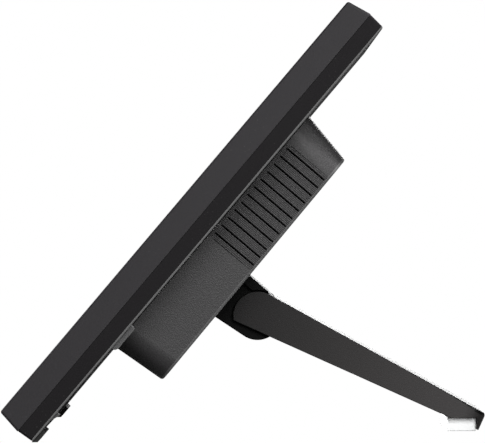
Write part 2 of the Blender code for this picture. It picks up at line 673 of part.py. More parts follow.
def make_key_board():
    """A narrow board behind the two keys, with a switch under each press point."""
    back = KEY_BOARD_DEPTH + BOARD_THICK
    half = KEY_BOARD_WIDTH / 2
    carrier = add("key_board", boxes("key_board", (
        (KEY_X - half, KEY_X + half), (KEY_BOARD_DEPTH, back),
        (POWER_HEIGHT - KEY_BOARD_BELOW, ROCKER_HEIGHT + ROCKER_LENGTH / 2 + KEY_BOARD_ABOVE))),
        SLAB, GREEN_BOARD)
    arm = ROCKER_LENGTH / 2 - SWITCH_INSET
    depth = (back - BOARD_THICK / 2, back + SWITCH_HEIGHT)
    spots = [ROCKER_HEIGHT - arm, ROCKER_HEIGHT + arm, POWER_HEIGHT]
    join(carrier, boxes("key_switches", *[((KEY_X - SWITCH_HALF, KEY_X + SWITCH_HALF), depth,
                                           (z - SWITCH_HALF, z + SWITCH_HALF)) for z in spots]), SLAB)


def make_sockets():
    """Card slot and USB socket in the left wall, and the power inlet in the bottom wall."""
    mouth = -SIDE_WALL_INNER + SOCKET_BACK
    card = add("card_slot", boxes("card_slot", ((mouth, mouth + CARD_DEEP),
                                                (ON_BOARD, ON_BOARD + CARD_THICK), CARD_Z)), SLAB, ZINC)
    cut(card, boxes("card_mouth", ((mouth - CARD_DEEP, mouth + MOUTH_SHARE * CARD_DEEP), CARD_MOUTH_Y,
                                   CARD_MOUTH_Z)), SLAB)
    usb = add("usb_socket", boxes("usb_socket", ((mouth, mouth + USB_DEEP),
                                                 (ON_BOARD, ON_BOARD + USB_THICK), USB_Z)), SLAB, ZINC)
    cut(usb, boxes("usb_mouth", ((mouth - USB_DEEP, mouth + MOUTH_SHARE * USB_DEEP), USB_MOUTH_Y,
                                 USB_MOUTH_Z)), SLAB)
    face = HOUSING_BOTTOM + HOUSING_BOTTOM_DRAFT
    inlet = add("dc_inlet", boxes("dc_inlet", ((INLET_X[0] + GAP, INLET_X[1] - GAP),
                                               (INLET_Y[0] + GAP, INLET_Y[1] - GAP),
                                               (face, face + INLET_DEEP + HOUSING_WALL))),
                SLAB, BLACK_SHELL)
    axis = Vector((sum(INLET_X) / 2, sum(INLET_Y) / 2, HOUSING_BOTTOM))
    cut(inlet, inlet_bore(axis), SLAB)


def inlet_bore(axis):
    """The inlet's round bore, with its centre pin left standing."""
    bm = bmesh.new()
    ring = bmesh.ops.create_circle(bm, segments=12, radius=INLET_BORE)['verts']
    pin = bmesh.ops.create_circle(bm, segments=12, radius=INLET_PIN)['verts']
    edges = {e for v in ring + pin for e in v.link_edges}
    bmesh.ops.bridge_loops(bm, edges=list(edges))
    made = bmesh.ops.extrude_face_region(bm, geom=list(bm.faces))
    top = [item for item in made['geom'] if isinstance(item, bmesh.types.BMVert)]
    bmesh.ops.translate(bm, verts=top, vec=(0.0, 0.0, INLET_DEEP))
    bmesh.ops.recalc_face_normals(bm, faces=bm.faces)
    bm.transform(Matrix.Translation(axis))
    return mesh_from(bm, "inlet_bore")


def make_speakers():
    """Two small drivers in the lower corners of the housing."""
    outer = SIDE_WALL_INNER - SPEAKER_SIDE
    inner = outer - SPEAKER_SIZE
    front = ON_BOARD + USB_THICK + SOCKET_SPACE
    rise = (MEDIA_LOW, MEDIA_LOW + SPEAKER_SIZE)
    for side, name in ((-1, "speaker_left"), (1, "speaker_right")):
        x_range = tuple(sorted((side * inner, side * outer)))
        speaker = add(name, boxes(name, (x_range, (front, front + SPEAKER_DEEP), rise)), SLAB, BLACK_SHELL)
        face = ((inner + outer) / 2 * side, front, sum(rise) / 2)
        cut(speaker, cylinders("cone", CONE_RADIUS, [face], CONE_DEEP, 'Y', sides=LARGE_ROUND), SLAB)


# ---- Stand: support, bracket, hinge ----

def hinge_screw_offsets():
    return grid(HINGE_SCREW_HALF, -HINGE_SCREW_RISE, HINGE_SCREW_RISE)


def make_stand_support():
    """A steel hat section that carries the hinge's load to the chassis through the housing."""
    top = HINGE_HEIGHT + SUPPORT_RISE
    low = HINGE_HEIGHT - SUPPORT_RISE
    back = housing_back(top) - HOUSING_WALL - GAP
    front = CHASSIS_BACK + GAP
    sheet_thick = SUPPORT_SHEET
    outer = SUPPORT_HALF
    foot = outer + SUPPORT_FOOT
    support = add("stand_support", boxes("stand_support", ((-foot, foot), (front, back), (low, top))),
                  SLAB, STEEL)
    tall = (low - sheet_thick, top + sheet_thick)
    cut(support, boxes("support_hollow",
                       ((-outer + sheet_thick, outer - sheet_thick), (0.0, back - sheet_thick), tall),
                       ((outer, 2 * outer), (front + sheet_thick, 2 * back), tall),
                       ((-2 * outer, -outer), (front + sheet_thick, 2 * back), tall)), SLAB)
    places = [(x, back, HINGE_HEIGHT + z) for x, z in hinge_screw_offsets()]
    cut(support, cylinders("support_holes", SCREW_SHANK + GAP, places, 4 * sheet_thick, 'Y'), SLAB)
    for number, (x, y, z) in enumerate(places, 1):
        screw_piece(f"hinge_screw_{number}", SLAB, ZINC, (x, back - sheet_thick - GAP, z),
                    HINGE_SCREW_LENGTH, tilt=math.radians(90))


def bracket_profile():
    """Side outline of the bracket's body: flat on the housing, round about the hinge axis."""
    low = HINGE_HEIGHT - BRACKET_BOTTOM
    high = HINGE_HEIGHT + BRACKET_TOP - HOOD_STEP
    axis = (HINGE_DEPTH, HINGE_HEIGHT)
    return ([(housing_back(high) + GAP, high), (housing_back(low) + GAP, low)]
            + arc(axis, BARREL_RADIUS, -98, 82, 12) + [(HINGE_DEPTH - HOOD_END / 2, high)])


def hood_profile():
    """Side outline of the full-width hood over the leg's head, hollowed round the head."""
    high = HINGE_HEIGHT + BRACKET_TOP
    under = HINGE_HEIGHT + HOOD_UNDER
    axis = (HINGE_DEPTH, HINGE_HEIGHT)
    radius = LEG_HEAD + 2 * RUN_GAP
    start = 180 - math.degrees(math.asin(HOOD_UNDER / radius))
    end = math.degrees(math.acos(-HOOD_END / radius))
    base = GAP + HOOD_STEP
    return ([(housing_back(high) + base, high), (housing_back(under) + base, under)]
            + arc(axis, radius, start, end, 5) + [(HINGE_DEPTH - HOOD_END, high)])


def make_hinge_bracket():
    bracket = add("hinge_bracket", outline("hinge_bracket", bracket_profile(),
                                           (-BRACKET_HALF, BRACKET_HALF)), SLAB, BLACK_BRACKET)
    half = LEG_WIDTH / 2
    join(bracket, outline("hood", hood_profile(), (-half, half)), SLAB)
    base = housing_back(HINGE_HEIGHT)
    axis = (0.0, HINGE_DEPTH, HINGE_HEIGHT)
    cut(bracket, cylinders("bracket_bore", SHAFT_RADIUS + GAP, [axis], 2 * LEG_WIDTH, 'X',
                           sides=LARGE_ROUND), SLAB)
    cut(bracket, boxes("bracket_pocket", ((-BRACKET_POCKET, BRACKET_POCKET),
                                          (0.5 * base, HINGE_DEPTH + POCKET_PAST_AXIS),
                                          (HINGE_HEIGHT - POCKET_HALF_HEIGHT,
                                           HINGE_HEIGHT + POCKET_HALF_HEIGHT))), SLAB)
    places = [(x, base, HINGE_HEIGHT + z) for x, z in hinge_screw_offsets()]
    cut(bracket, cylinders("bracket_pilots", SCREW_SHANK + GAP, places, PILOT_LENGTH, 'Y'), SLAB)


def ring(name, radius, bore, thickness, x, parent, finish, sides):
    """A flat ring on the hinge axis."""
    piece = add(name, cylinders(name, radius, [(x, 0.0, 0.0)], thickness, 'X', sides), parent, finish)
    cut(piece, cylinders(name + "_bore", bore, [(x, 0.0, 0.0)], 2 * thickness, 'X',
                         sides=LARGE_ROUND), parent)
    return piece


def make_hinge():
    """A shaft that turns with the leg, clamped through friction discs to the bracket's walls."""
    reach = LEG_WIDTH / 2 - LEG_CHEEK - GAP
    add("hinge_shaft", cylinders("hinge_shaft", SHAFT_RADIUS, [(0.0, 0.0, 0.0)], 2 * reach, 'X',
                                 sides=LARGE_ROUND), LEG, STEEL)
    bore = SHAFT_RADIUS + GAP
    for side, end in ((-1, "left"), (1, "right")):
        disc_x = side * (BRACKET_POCKET - GAP - DISC_THICK / 2)
        ring(f"friction_disc_{end}", DISC_RADIUS, bore, DISC_THICK, disc_x, LEG, BRASS, LARGE_ROUND)
        nut_x = side * (BRACKET_POCKET - 2 * GAP - DISC_THICK - NUT_THICK / 2)
        ring(f"hinge_nut_{end}", NUT_RADIUS, bore, NUT_THICK, nut_x, LEG, ZINC, 6)
        make_leg_arm(end, side)


def make_leg_arm(end, side):
    """A steel arm keyed to the shaft, lying inside the leg's cheek."""
    inner = BRACKET_HALF + RUN_GAP
    x_range = tuple(sorted((side * inner, side * (inner + ARM_THICK))))
    drop = LEG_UNDER - COVER_THICK - 2 * GAP
    tip = 0.6 * ARM_RADIUS
    points = (arc((0.0, 0.0), ARM_RADIUS, 80, 225, 8)
              + [(0.25 * ARM_REACH, -drop), (ARM_REACH, -drop), (ARM_REACH, tip)])
    arm = add(f"leg_arm_{end}", outline(f"leg_arm_{end}", points, x_range), LEG, STEEL)
    cut(arm, cylinders("arm_bore", SHAFT_RADIUS + GAP, [(side * inner, 0.0, 0.0)], 4 * ARM_THICK, 'X',
                       sides=LARGE_ROUND), LEG)


# ---- Leg ----

def leg_top(y, inset=0.0):
    """Height of the leg's top line, or of a line inside it, at a distance from the axis."""
    slope = (LEG_HEAD - LEG_TIP_RISE) / LEG_REACH
    return LEG_HEAD / math.cos(math.atan(slope)) - slope * y - inset


def desk_to_leg(across, up):
    """A point given from the lip's foot, along the desk and up, in the leg's frame."""
    foot_y = (LEG_REACH * math.cos(LEG_TILT) - LEG_UNDER * math.sin(LEG_TILT))
    foot_z = -AXIS_Z
    y = foot_y + across
    z = foot_z + up
    return (y * math.cos(LEG_TILT) - z * math.sin(LEG_TILT),
            y * math.sin(LEG_TILT) + z * math.cos(LEG_TILT))


def make_leg_shell():
    half = LEG_WIDTH / 2
    corner = math.degrees(math.asin(LEG_UNDER / LEG_HEAD))
    slope = math.degrees(math.atan((LEG_HEAD - LEG_TIP_RISE) / LEG_REACH))
    points = (arc((0.0, 0.0), LEG_HEAD, 90 - slope, 180 + corner, 14)
              + [(LEG_REACH, -LEG_UNDER), (LEG_REACH, leg_top(LEG_REACH))])
    body = outline("leg_shell", points, (-half, half))
    round_tip(body, LEG_REACH, LEG_TIP_CORNER)
    shell = add("leg_shell", body, LEG, GREY_LEG)
    inner = half - LEG_CHEEK
    hollow_end = LEG_REACH - LEG_SOLID_TIP
    far = 2 * LEG_HEAD
    cut(shell, outline("leg_hollow",
                       [(-far, -far), (hollow_end, -far), (hollow_end, leg_top(hollow_end, LEG_SKIN)),
                        (0.0, leg_top(0.0, LEG_SKIN)), (-far, leg_top(0.0, LEG_SKIN))],
                       (-inner, inner)), LEG)
    cut(shell, cylinders("barrel_room", BARREL_RADIUS + RUN_GAP, [(0.0, 0.0, 0.0)], 2 * inner, 'X',
                         sides=LARGE_ROUND), LEG)
    cut(shell, outline("pad_notch", [desk_to_leg(-LIP_THICK, -far), desk_to_leg(-LIP_THICK, NOTCH_HEIGHT),
                                     desk_to_leg(-LIP_THICK - PAD_LENGTH, NOTCH_HEIGHT),
                                     desk_to_leg(-LIP_THICK - PAD_LENGTH, -far)],
                       (-LEG_WIDTH, LEG_WIDTH)), LEG)
    posts = [(x, y, 0.0) for x, y in cover_screw_places()]
    holes = bmesh.new()
    for post in posts:
        add_post(holes, post, SCREW_SHANK + GAP, -LEG_UNDER, 0.0)
    add_cover_posts(shell, posts)
    cut(shell, mesh_from(holes, "cover_pilots"), LEG)


def add_post(bm, place, radius, low, high):
    """A round post square to the leg's underside."""
    centre = Vector((place[0], place[1], (low + high) / 2))
    bmesh.ops.create_cone(bm, cap_ends=True, segments=SMALL_ROUND, radius1=radius, radius2=radius,
                          depth=high - low, matrix=Matrix.Translation(centre))


def add_cover_posts(shell, posts):
    bm = bmesh.new()
    for post in posts:
        add_post(bm, post, COVER_POST, -LEG_UNDER + COVER_THICK + GAP,
                 leg_top(post[1], LEG_SKIN / 2))
    join(shell, mesh_from(bm, "cover_posts"), LEG)


def round_tip(mesh, reach, radius):
    """Round the two upright edges at the tip, as seen from above."""
    bm = bmesh.new()
    bm.from_mesh(mesh)
    upright = [e for e in bm.edges
               if all(abs(v.co.y - reach) < GAP for v in e.verts)
               and abs(e.verts[0].co.x - e.verts[1].co.x) < GAP]
    bmesh.ops.bevel(bm, geom=upright, offset=radius, offset_type='OFFSET', segments=5, profile=0.5,
                    affect='EDGES', material=-1)
    bm.to_mesh(mesh)
    bm.free()


def cover_screw_places():
    return [(0.0, COVER_START + COVER_SCREW_START),
            (0.0, LEG_REACH - LEG_SOLID_TIP - COVER_SCREW_END)]


def make_leg_cover():
    """A plate that closes the leg's underside, held by two screws."""
    half = LEG_WIDTH / 2 - LEG_CHEEK - GAP
    under = -LEG_UNDER
    end = LEG_REACH - LEG_SOLID_TIP - GAP
    cover = add("leg_cover", boxes("leg_cover", ((-half, half), (COVER_START, end),
                                                 (under, under + COVER_THICK))), LEG, BLACK_BRACKET)
    seat = under + SCREW_HEAD_HEIGHT + GAP
    holes = bmesh.new()
    seats = bmesh.new()
    for x, y in cover_screw_places():
        add_post(holes, (x, y), SCREW_SHANK + GAP, 2 * under, 0.0)
        add_post(seats, (x, y), SCREW_HEAD + GAP, 2 * under, seat)
    cut(cover, mesh_from(holes, "cover_holes"), LEG)
    cut(cover, mesh_from(seats, "cover_seats"), LEG)
    for number, (x, y) in enumerate(cover_screw_places(), 1):
        screw_piece(f"cover_screw_{number}", LEG, ZINC, (x, y, seat - GAP), LEG_UNDER / 2 + GAP,
                    tilt=math.radians(180))


def make_leg_pad():
    """A soft pad in the notch under the tip; its flat bottom lies on the desk."""
    back = -LIP_THICK - GAP
    front = -LIP_THICK - PAD_LENGTH + GAP
    top = NOTCH_HEIGHT - GAP
    points = [desk_to_leg(back, 0.0), desk_to_leg(back, top), desk_to_leg(front, top),
              desk_to_leg(front, 0.0)]
    half = LEG_WIDTH / 2 - LEG_TIP_CORNER
    add("leg_pad", outline("leg_pad", points, (-half, half)), LEG, SILICONE)


# ---- Feet and keys ----

def make_feet():
    """Rubber strips behind the slab's lower corners, cut flat where they stand on the desk."""
    near = SLAB_DEPTH + GAP
    far = SLAB_DEPTH + FOOT_PROUD
    points = [(near, desk_height(near)), (far, desk_height(far)), (far, FOOT_TOP), (near, FOOT_TOP)]
    outer = HALF_WIDTH - FOOT_SIDE_INSET
    for side, name in ((-1, "foot_left"), (1, "foot_right")):
        x_range = tuple(sorted((side * outer, side * (outer - FOOT_LENGTH))))
        add(name, outline(name, points, x_range), SLAB, RUBBER)


def make_keys():
    """The menu rocker turns about its middle; the power key slides straight in."""
    pivot = Vector((KEY_X, SLAB_DEPTH - ROCKER_PIVOT, ROCKER_HEIGHT))
    half_width = ROCKER_WIDTH / 2
    half_length = ROCKER_LENGTH / 2
    inside = -KEY_DEEP + ROCKER_PIVOT
    proud = ROCKER_PIVOT + ROCKER_PROUD
    rocker = add("menu_rocker", outline("menu_rocker", [
        (inside, -half_length), (proud - ROCKER_SLOPE, -half_length), (proud, -half_length + ROCKER_SLOPE),
        (proud, half_length - ROCKER_SLOPE), (proud - ROCKER_SLOPE, half_length), (inside, half_length)],
        (-half_width, half_width)), SLAB, GREY_KEY)
    rocker.location = pivot
    half = POWER_SIZE / 2
    power = add("power_button", outline("power_button", [
        (-KEY_DEEP, -half), (0.0, -half), (POWER_PROUD, half - POWER_FLAT), (POWER_PROUD, half),
        (-KEY_DEEP, half)], (-half, half)), SLAB, GREY_KEY)
    power.location = (KEY_X, SLAB_DEPTH, POWER_HEIGHT)


# ---- Assembly ----

def stand_on_origin():
    """Move the whole object so that the middle of its floor plan is over the origin."""
    bpy.context.view_layer.update()
    graph = bpy.context.evaluated_depsgraph_get()
    ys = []
    for piece in PARTS.objects:
        if piece.type != 'MESH':
            continue
        evaluated = piece.evaluated_get(graph)
        ys += [(evaluated.matrix_world @ v.co).y for v in evaluated.data.vertices]
    BASE.location.y -= (min(ys) + max(ys)) / 2
    bpy.context.view_layer.update()


def build():
    make_front_bezel()
    make_display()
    make_panel_chassis()
    make_rear_shell()
    make_rear_housing()
    make_boards()
    make_sockets()
    make_speakers()
    make_stand_support()
    make_hinge_bracket()
    make_hinge()
    make_leg_shell()
    make_leg_cover()
    make_leg_pad()
    make_feet()
    make_keys()
    stand_on_origin()


clear_scene()
PARTS = new_collection("digital_photo_frame")
CUTTERS = new_collection("cutters")

BLACK_BEZEL = material("bezel_black", (0.042, 0.040, 0.043), 0.55)
BLACK_SHELL = material("shell_black", (0.018, 0.017, 0.018), 0.50)
GREY_HOUSING = material("housing_grey", (0.060, 0.059, 0.060), 0.60)
BLACK_BRACKET = material("bracket_black", (0.010, 0.010, 0.010), 0.45)
GREY_LEG = material("leg_grey", (0.045, 0.044, 0.045), 0.50)
GREY_KEY = material("key_grey", (0.10, 0.10, 0.10), 0.45)
BLACK_CARD = material("mat_card", (0.012, 0.012, 0.013), 0.90)
CLEAR_GLASS = material("window_glass", (0.80, 0.82, 0.82), 0.05)
SCREEN = material("screen", (0.006, 0.006, 0.008), 0.20)
WHITE_PLASTIC = material("backlight_white", (0.75, 0.75, 0.73), 0.60)
SILICONE = material("pad_silicone", (0.85, 0.86, 0.86), 0.45)
RUBBER = material("foot_rubber", (0.012, 0.012, 0.012), 0.85)
GREEN_BOARD = material("board_green", (0.010, 0.060, 0.030), 0.45)
STEEL = material("steel", (0.42, 0.42, 0.41), 0.40, metallic=1.0)
ZINC = material("zinc", (0.50, 0.50, 0.48), 0.35, metallic=1.0)
ALUMINIUM = material("aluminium", (0.60, 0.60, 0.61), 0.35, metallic=1.0)
BRASS = material("brass", (0.55, 0.40, 0.15), 0.35, metallic=1.0)

BASE = empty("base", None, (0.0, 0.0, 0.0), 0.0)
SLAB = empty("slab_frame", BASE, (0.0, 0.0, -DESK), -RECLINE)
LEG = empty("leg_axis", BASE, (0.0, AXIS_Y, AXIS_Z), -LEG_TILT)

build()
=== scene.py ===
"""Builds the finished pieces of a tabletop digital photo frame round its solid parts."""
import json
import math

import bmesh
import bpy
from bpy.props import FloatProperty, FloatVectorProperty, IntProperty, PointerProperty
from mathutils import Matrix, Vector


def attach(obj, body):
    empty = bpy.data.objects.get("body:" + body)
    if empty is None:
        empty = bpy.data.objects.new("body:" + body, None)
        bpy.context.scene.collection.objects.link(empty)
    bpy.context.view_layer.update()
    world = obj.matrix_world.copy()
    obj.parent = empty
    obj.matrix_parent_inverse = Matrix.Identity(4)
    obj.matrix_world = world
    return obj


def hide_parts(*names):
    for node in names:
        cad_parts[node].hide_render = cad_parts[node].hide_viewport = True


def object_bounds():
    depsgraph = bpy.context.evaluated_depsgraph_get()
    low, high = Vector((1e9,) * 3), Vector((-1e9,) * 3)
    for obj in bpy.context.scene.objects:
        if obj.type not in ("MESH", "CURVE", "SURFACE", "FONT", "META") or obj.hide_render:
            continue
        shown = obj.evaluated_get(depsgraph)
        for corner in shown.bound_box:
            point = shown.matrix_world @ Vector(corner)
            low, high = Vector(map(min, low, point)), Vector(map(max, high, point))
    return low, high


bl_info = {
    "name": "Digital Photo Frame",
    "version": (1, 0, 0),
    "blender": (4, 5, 0),
    "location": "View3D > Sidebar > Photo Frame",
    "description": "Builds the finished pieces of a tabletop digital photo frame",
    "category": "Object",
}

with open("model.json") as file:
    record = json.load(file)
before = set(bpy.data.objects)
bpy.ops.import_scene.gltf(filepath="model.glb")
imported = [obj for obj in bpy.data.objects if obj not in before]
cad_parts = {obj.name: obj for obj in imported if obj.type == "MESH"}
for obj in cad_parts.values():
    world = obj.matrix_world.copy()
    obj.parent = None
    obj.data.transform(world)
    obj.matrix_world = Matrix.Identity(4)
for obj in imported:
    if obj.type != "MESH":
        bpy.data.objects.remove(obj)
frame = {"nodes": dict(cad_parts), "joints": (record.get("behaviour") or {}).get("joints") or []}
CAD_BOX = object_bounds()

GAP = 0.0003                  # between pieces that seat on each other
RUN_GAP = 0.0005              # round a piece that moves
SHARP = math.radians(38)      # edges turned more than this are shaded as corners
MERGE = 0.00001
CORNER_STEPS = 12             # facets round a corner of a rounded rectangle
PILOT = 0.0017                # radius of the hole that a screw's shank takes
SEAT = 0.0032                 # radius of the well round a screw's head
BOSS = 0.0043                 # radius of the post that a screw goes into
SCREW_HEAD = 0.0018           # height of a screw's head
BARREL = 0.0141               # radius of the hinge bracket's barrel
# Rounded faces are marked in this attribute: the finishes polish them and give them a tone that is partly
# wear and partly a painted highlight (a painted dark edge on the leg).
WEAR_AND_PAINTED_LIGHT = "edge_wear_and_painted_light"            # face attribute that the finishes read
MID_GREY = (0.05, 0.05, 0.05, 1.0)
SIDES = ((-1, "left"), (1, "right"))


# ---- Frames and sizes taken from the solid parts ----

def joint(name):
    return next(j for j in frame["joints"] if j["name"] == name)


def slab_axes():
    """Across, behind the front face, and up the slab; the power key travels straight in."""
    travel = joint("power_press")["axis"]
    turn = Matrix.Rotation(-math.atan2(travel[2], -travel[1]), 4, 'X')
    corners = [turn.inverted() @ v.co for v in frame["nodes"]["front_bezel"].data.vertices]
    low = Vector((0.0, min(c.y for c in corners), min(c.z for c in corners)))
    return Matrix.Translation(turn @ low) @ turn


def leg_axes():
    """Across, from the hinge axis to the tip, and square to the leg's underside."""
    face = max(frame["nodes"]["leg_cover"].data.polygons, key=lambda p: p.area)
    up = face.normal if face.normal.z > 0 else -face.normal
    turn = Matrix.Rotation(-math.atan2(up.y, up.z), 4, 'X')
    return Matrix.Translation(joint("leg_hinge")["pos_m"]) @ turn


SLAB = slab_axes()
LEG = leg_axes()


def local_box(node, axes):
    """A solid part's lowest and highest corners along a set of axes."""
    inverse = axes.inverted()
    corners = [inverse @ v.co for v in frame["nodes"][node].data.vertices]
    return (Vector([min(c[i] for c in corners) for i in range(3)]),
            Vector([max(c[i] for c in corners) for i in range(3)]))


_, BEZEL_HIGH = local_box("front_bezel", SLAB)
_, SHELL_HIGH = local_box("rear_shell", SLAB)
HOUSING_LOW, HOUSING_HIGH = local_box("rear_housing", SLAB)
PANE_LOW, PANE_HIGH = local_box("window_glass", SLAB)
LEG_LOW, LEG_HIGH = local_box("leg_shell", LEG)
HINGE = SLAB.inverted() @ Vector(joint("leg_hinge")["pos_m"])

HALF_WIDTH = BEZEL_HIGH.x
HEIGHT = BEZEL_HIGH.z
MIDDLE = HEIGHT / 2
BEZEL_DEPTH = BEZEL_HIGH.y
SLAB_DEPTH = SHELL_HIGH.y
SHELL_FRONT = BEZEL_DEPTH + GAP
PANE_LAP = 0.0095             # how far the pane reaches under the border
OPENING_HALF = PANE_HIGH.x - PANE_LAP
OPENING_RISE = PANE_HIGH.z - MIDDLE - PANE_LAP
BEZEL_WALL = PANE_LOW.y - GAP
SHEET = 0.0022                # thickness of the rear shell's back
HOUSING_HALF = HOUSING_HIGH.x
HOUSING_RIM = SLAB_DEPTH + GAP
HOUSING_WALL = 0.0025
LEG_HALF = LEG_HIGH.x
LEG_REACH = LEG_HIGH.y
LEG_HEAD = -LEG_LOW.y         # radius of the leg's round head
LEG_UNDER = 0.00805           # from the hinge axis down to the leg's underside
LEG_TIP_RISE = 0.0025         # height of the tip's top above the hinge axis
LEG_SKIN = 0.0025
LIP_THICK = 0.0011            # along the desk, at the foot of the tip's lip
PAD_LENGTH = 0.0173
NOTCH_HEIGHT = 0.0080


def back_depth_above(height):
    """Depth of the housing's back, of the part of it that is above a height."""
    corners = [SLAB.inverted() @ v.co for v in frame["nodes"]["rear_housing"].data.vertices]
    return max(c.y for c in corners if c.z > height)


HOUSING_DRAFTS = (0.0030, 0.0056, 0.0020)   # bottom, top and sides lean in by this
BACK_LOW = HOUSING_LOW.z + HOUSING_DRAFTS[0]
BACK_HIGH = HOUSING_HIGH.z - HOUSING_DRAFTS[1]
BACK_DEPTHS = (back_depth_above(0.0), back_depth_above(HOUSING_HIGH.z - 0.02))


def housing_back(height):
    """Depth of the housing's back face at a height up the slab; the face tips slightly."""
    share = (height - BACK_LOW) / (BACK_HIGH - BACK_LOW)
    return BACK_DEPTHS[0] + share * (BACK_DEPTHS[1] - BACK_DEPTHS[0])


# ---- Sizes and colours that a user would change ----

def length(name, description, default):
    return FloatProperty(name=name, description=description, default=default, min=0.0,
                         subtype='DISTANCE', unit='LENGTH')


def colour(name, description, default):
    return FloatVectorProperty(name=name, description=description, default=default, size=3,
                               min=0.0, max=1.0, subtype='COLOR')


class PhotoFrameSizes(bpy.types.PropertyGroup):
    """Sizes of the finish details, in metres."""
    front_inset: length("Front inset", "How much smaller the front face is than the parting line", 0.0019)
    top_inset: length("Top inset", "The same, at the top", 0.0027)
    slab_corner: length("Slab corner", "Radius of the slab's corners, seen from the front", 0.0015)
    front_round: length("Front rounding", "Radius of the bezel's front edge", 0.0012)
    opening_chamfer: length("Opening chamfer", "Width of the slope round the picture opening", 0.0016)
    parting_round: length("Parting rounding", "Radius of the two edges at the parting line", 0.00015)
    shell_round: length("Shell rounding", "Radius of the shell's rear edge", 0.0011)
    housing_corner: length("Housing corner", "Radius of the housing's corners, seen from behind", 0.015)
    housing_round: length("Housing rounding", "Radius of the housing's rear edge", 0.0015)
    vent_pitch: length("Vent pitch", "From one vent slot to the next", 0.00566)
    vent_slot: length("Vent slot", "Height of a vent slot", 0.0010)
    vent_first: length("First vent", "Height of the lowest slot above the housing's bottom", 0.0860)
    vent_count: IntProperty(name="Vents", description="Slots in each side wall", default=12, min=1)
    leg_round: length("Leg rounding", "Radius of the leg's long edges", 0.0012)
    leg_tip_round: length("Leg tip rounding", "Radius of the upper edge of the leg's tip", 0.0020)
    leg_tip_corner: length("Leg tip corner", "Radius of the leg's two tip corners", 0.008)
    screw_head: length("Screw head", "Radius of a screw's head", 0.0029)


class PhotoFrameColours(bpy.types.PropertyGroup):
    """Colours of the finishes."""
    bezel: colour("Bezel", "Satin black of the front bezel", (0.0148, 0.0134, 0.0154))
    shell: colour("Shell", "Darker black of the rear shell", (0.0056, 0.0048, 0.0056))
    housing: colour("Housing", "Charcoal of the vented housing", (0.0225, 0.0217, 0.0225))
    bracket: colour("Bracket", "Near black of the hinge bracket", (0.0012, 0.0012, 0.0012))
    leg: colour("Leg", "Charcoal of the folding leg", (0.034, 0.032, 0.032))
    key: colour("Keys", "Lighter grey of the two keys", (0.030, 0.030, 0.031))
    pad: colour("Pad", "Milky silicone of the leg's pad", (0.93, 0.94, 0.94))
    rubber: colour("Feet", "Black rubber of the feet", (0.010, 0.010, 0.010))
    board: colour("Boards", "Solder mask of the circuit boards", (0.008, 0.070, 0.030))


# ---- Forms ----

def moved_to(vert, old, new):
    """Carry a vertex of one rounded rectangle to the same place on another."""
    half, low, high, _, radius = old
    side = math.copysign(1.0, vert.co.x)
    top = vert.co.z > (low + high) / 2
    lean = ((vert.co.x - side * (half - radius)) / radius,
            (vert.co.z - (high - radius if top else low + radius)) / radius)
    half, low, high, depth, radius = new
    x = side * (half - radius) + lean[0] * radius
    z = (high - radius if top else low + radius) + lean[1] * radius
    start, end = depth if isinstance(depth, tuple) else (depth, depth)
    vert.co = (x, start + (z - low) / (high - low) * (end - start), z)


def rounded_loop(bm, outline):
    """Edges of a rounded rectangle across the slab. A pair of depths tips it from bottom to top."""
    verts = bmesh.ops.create_grid(bm, x_segments=1, y_segments=1, size=0.5,
                                  matrix=Matrix.Rotation(math.radians(90), 4, 'X'))["verts"]
    made = bmesh.ops.bevel(bm, geom=verts, offset=0.25, offset_type='OFFSET', affect='VERTICES',
                           segments=CORNER_STEPS, profile=0.5, material=-1)
    face = made["verts"][0].link_faces[0]
    for vert in face.verts:
        moved_to(vert, (0.5, -0.5, 0.5, 0.0, 0.25), outline)
    edges = list(face.edges)
    bmesh.ops.delete(bm, geom=[face], context='FACES_ONLY')
    return edges


def empty_form():
    """A form with nothing in it yet, and with room to mark the rounded faces that the finishes give worn
    edges and a painted edge light.
    """
    bm = bmesh.new()
    bm.faces.layers.float.new(WEAR_AND_PAINTED_LIGHT)
    return bm


def round_over(bm, edges, radius, segments=3):
    """Round some edges over, and note the new faces: handling polishes them, and the finishes paint a
    highlight along them (a dark painted shade along the leg's edges).
    """
    made = bmesh.ops.bevel(bm, geom=list(edges), offset=radius, offset_type='OFFSET', affect='EDGES',
                           segments=segments, profile=0.5, material=-1, clamp_overlap=True)
    for face in made["faces"]:
        face[bm.faces.layers.float[WEAR_AND_PAINTED_LIGHT]] = 1.0


def sharp_edges(bm, angle=math.radians(50), where=lambda e: True):
    return [e for e in bm.edges if len(e.link_faces) == 2 and e.calc_face_angle(0.0) > angle and where(e)]


def lofted(outlines, closed, rounds=()):
    """A skin through rounded rectangles, in order, closed into a ring or capped at both ends.

    Each outline is (half width, bottom, top, depth, corner radius). Each of rounds is (outline, radius).
    """
    bm = empty_form()
    loops = [rounded_loop(bm, outlines[0])]
    ahead = outlines[1:] + (outlines[:1] if closed else [])
    for old, new in zip(outlines, ahead):
        made = bmesh.ops.extrude_edge_only(bm, edges=loops[-1])["geom"]
        fresh = {g for g in made if isinstance(g, bmesh.types.BMVert)}
        for vert in fresh:
            moved_to(vert, old, new)
        loops.append([e for e in bm.edges if e.verts[0] in fresh and e.verts[1] in fresh])
    if closed:
        bmesh.ops.remove_doubles(bm, verts=bm.verts, dist=MERGE)
    else:
        bmesh.ops.edgeloop_fill(bm, edges=loops[0])
        bmesh.ops.edgeloop_fill(bm, edges=loops[-1])
    bmesh.ops.recalc_face_normals(bm, faces=bm.faces)
    for number, radius in rounds:
        round_over(bm, [e for e in loops[number] if e.is_valid], radius, 4)
    bmesh.ops.recalc_face_normals(bm, faces=bm.faces)
    return bm


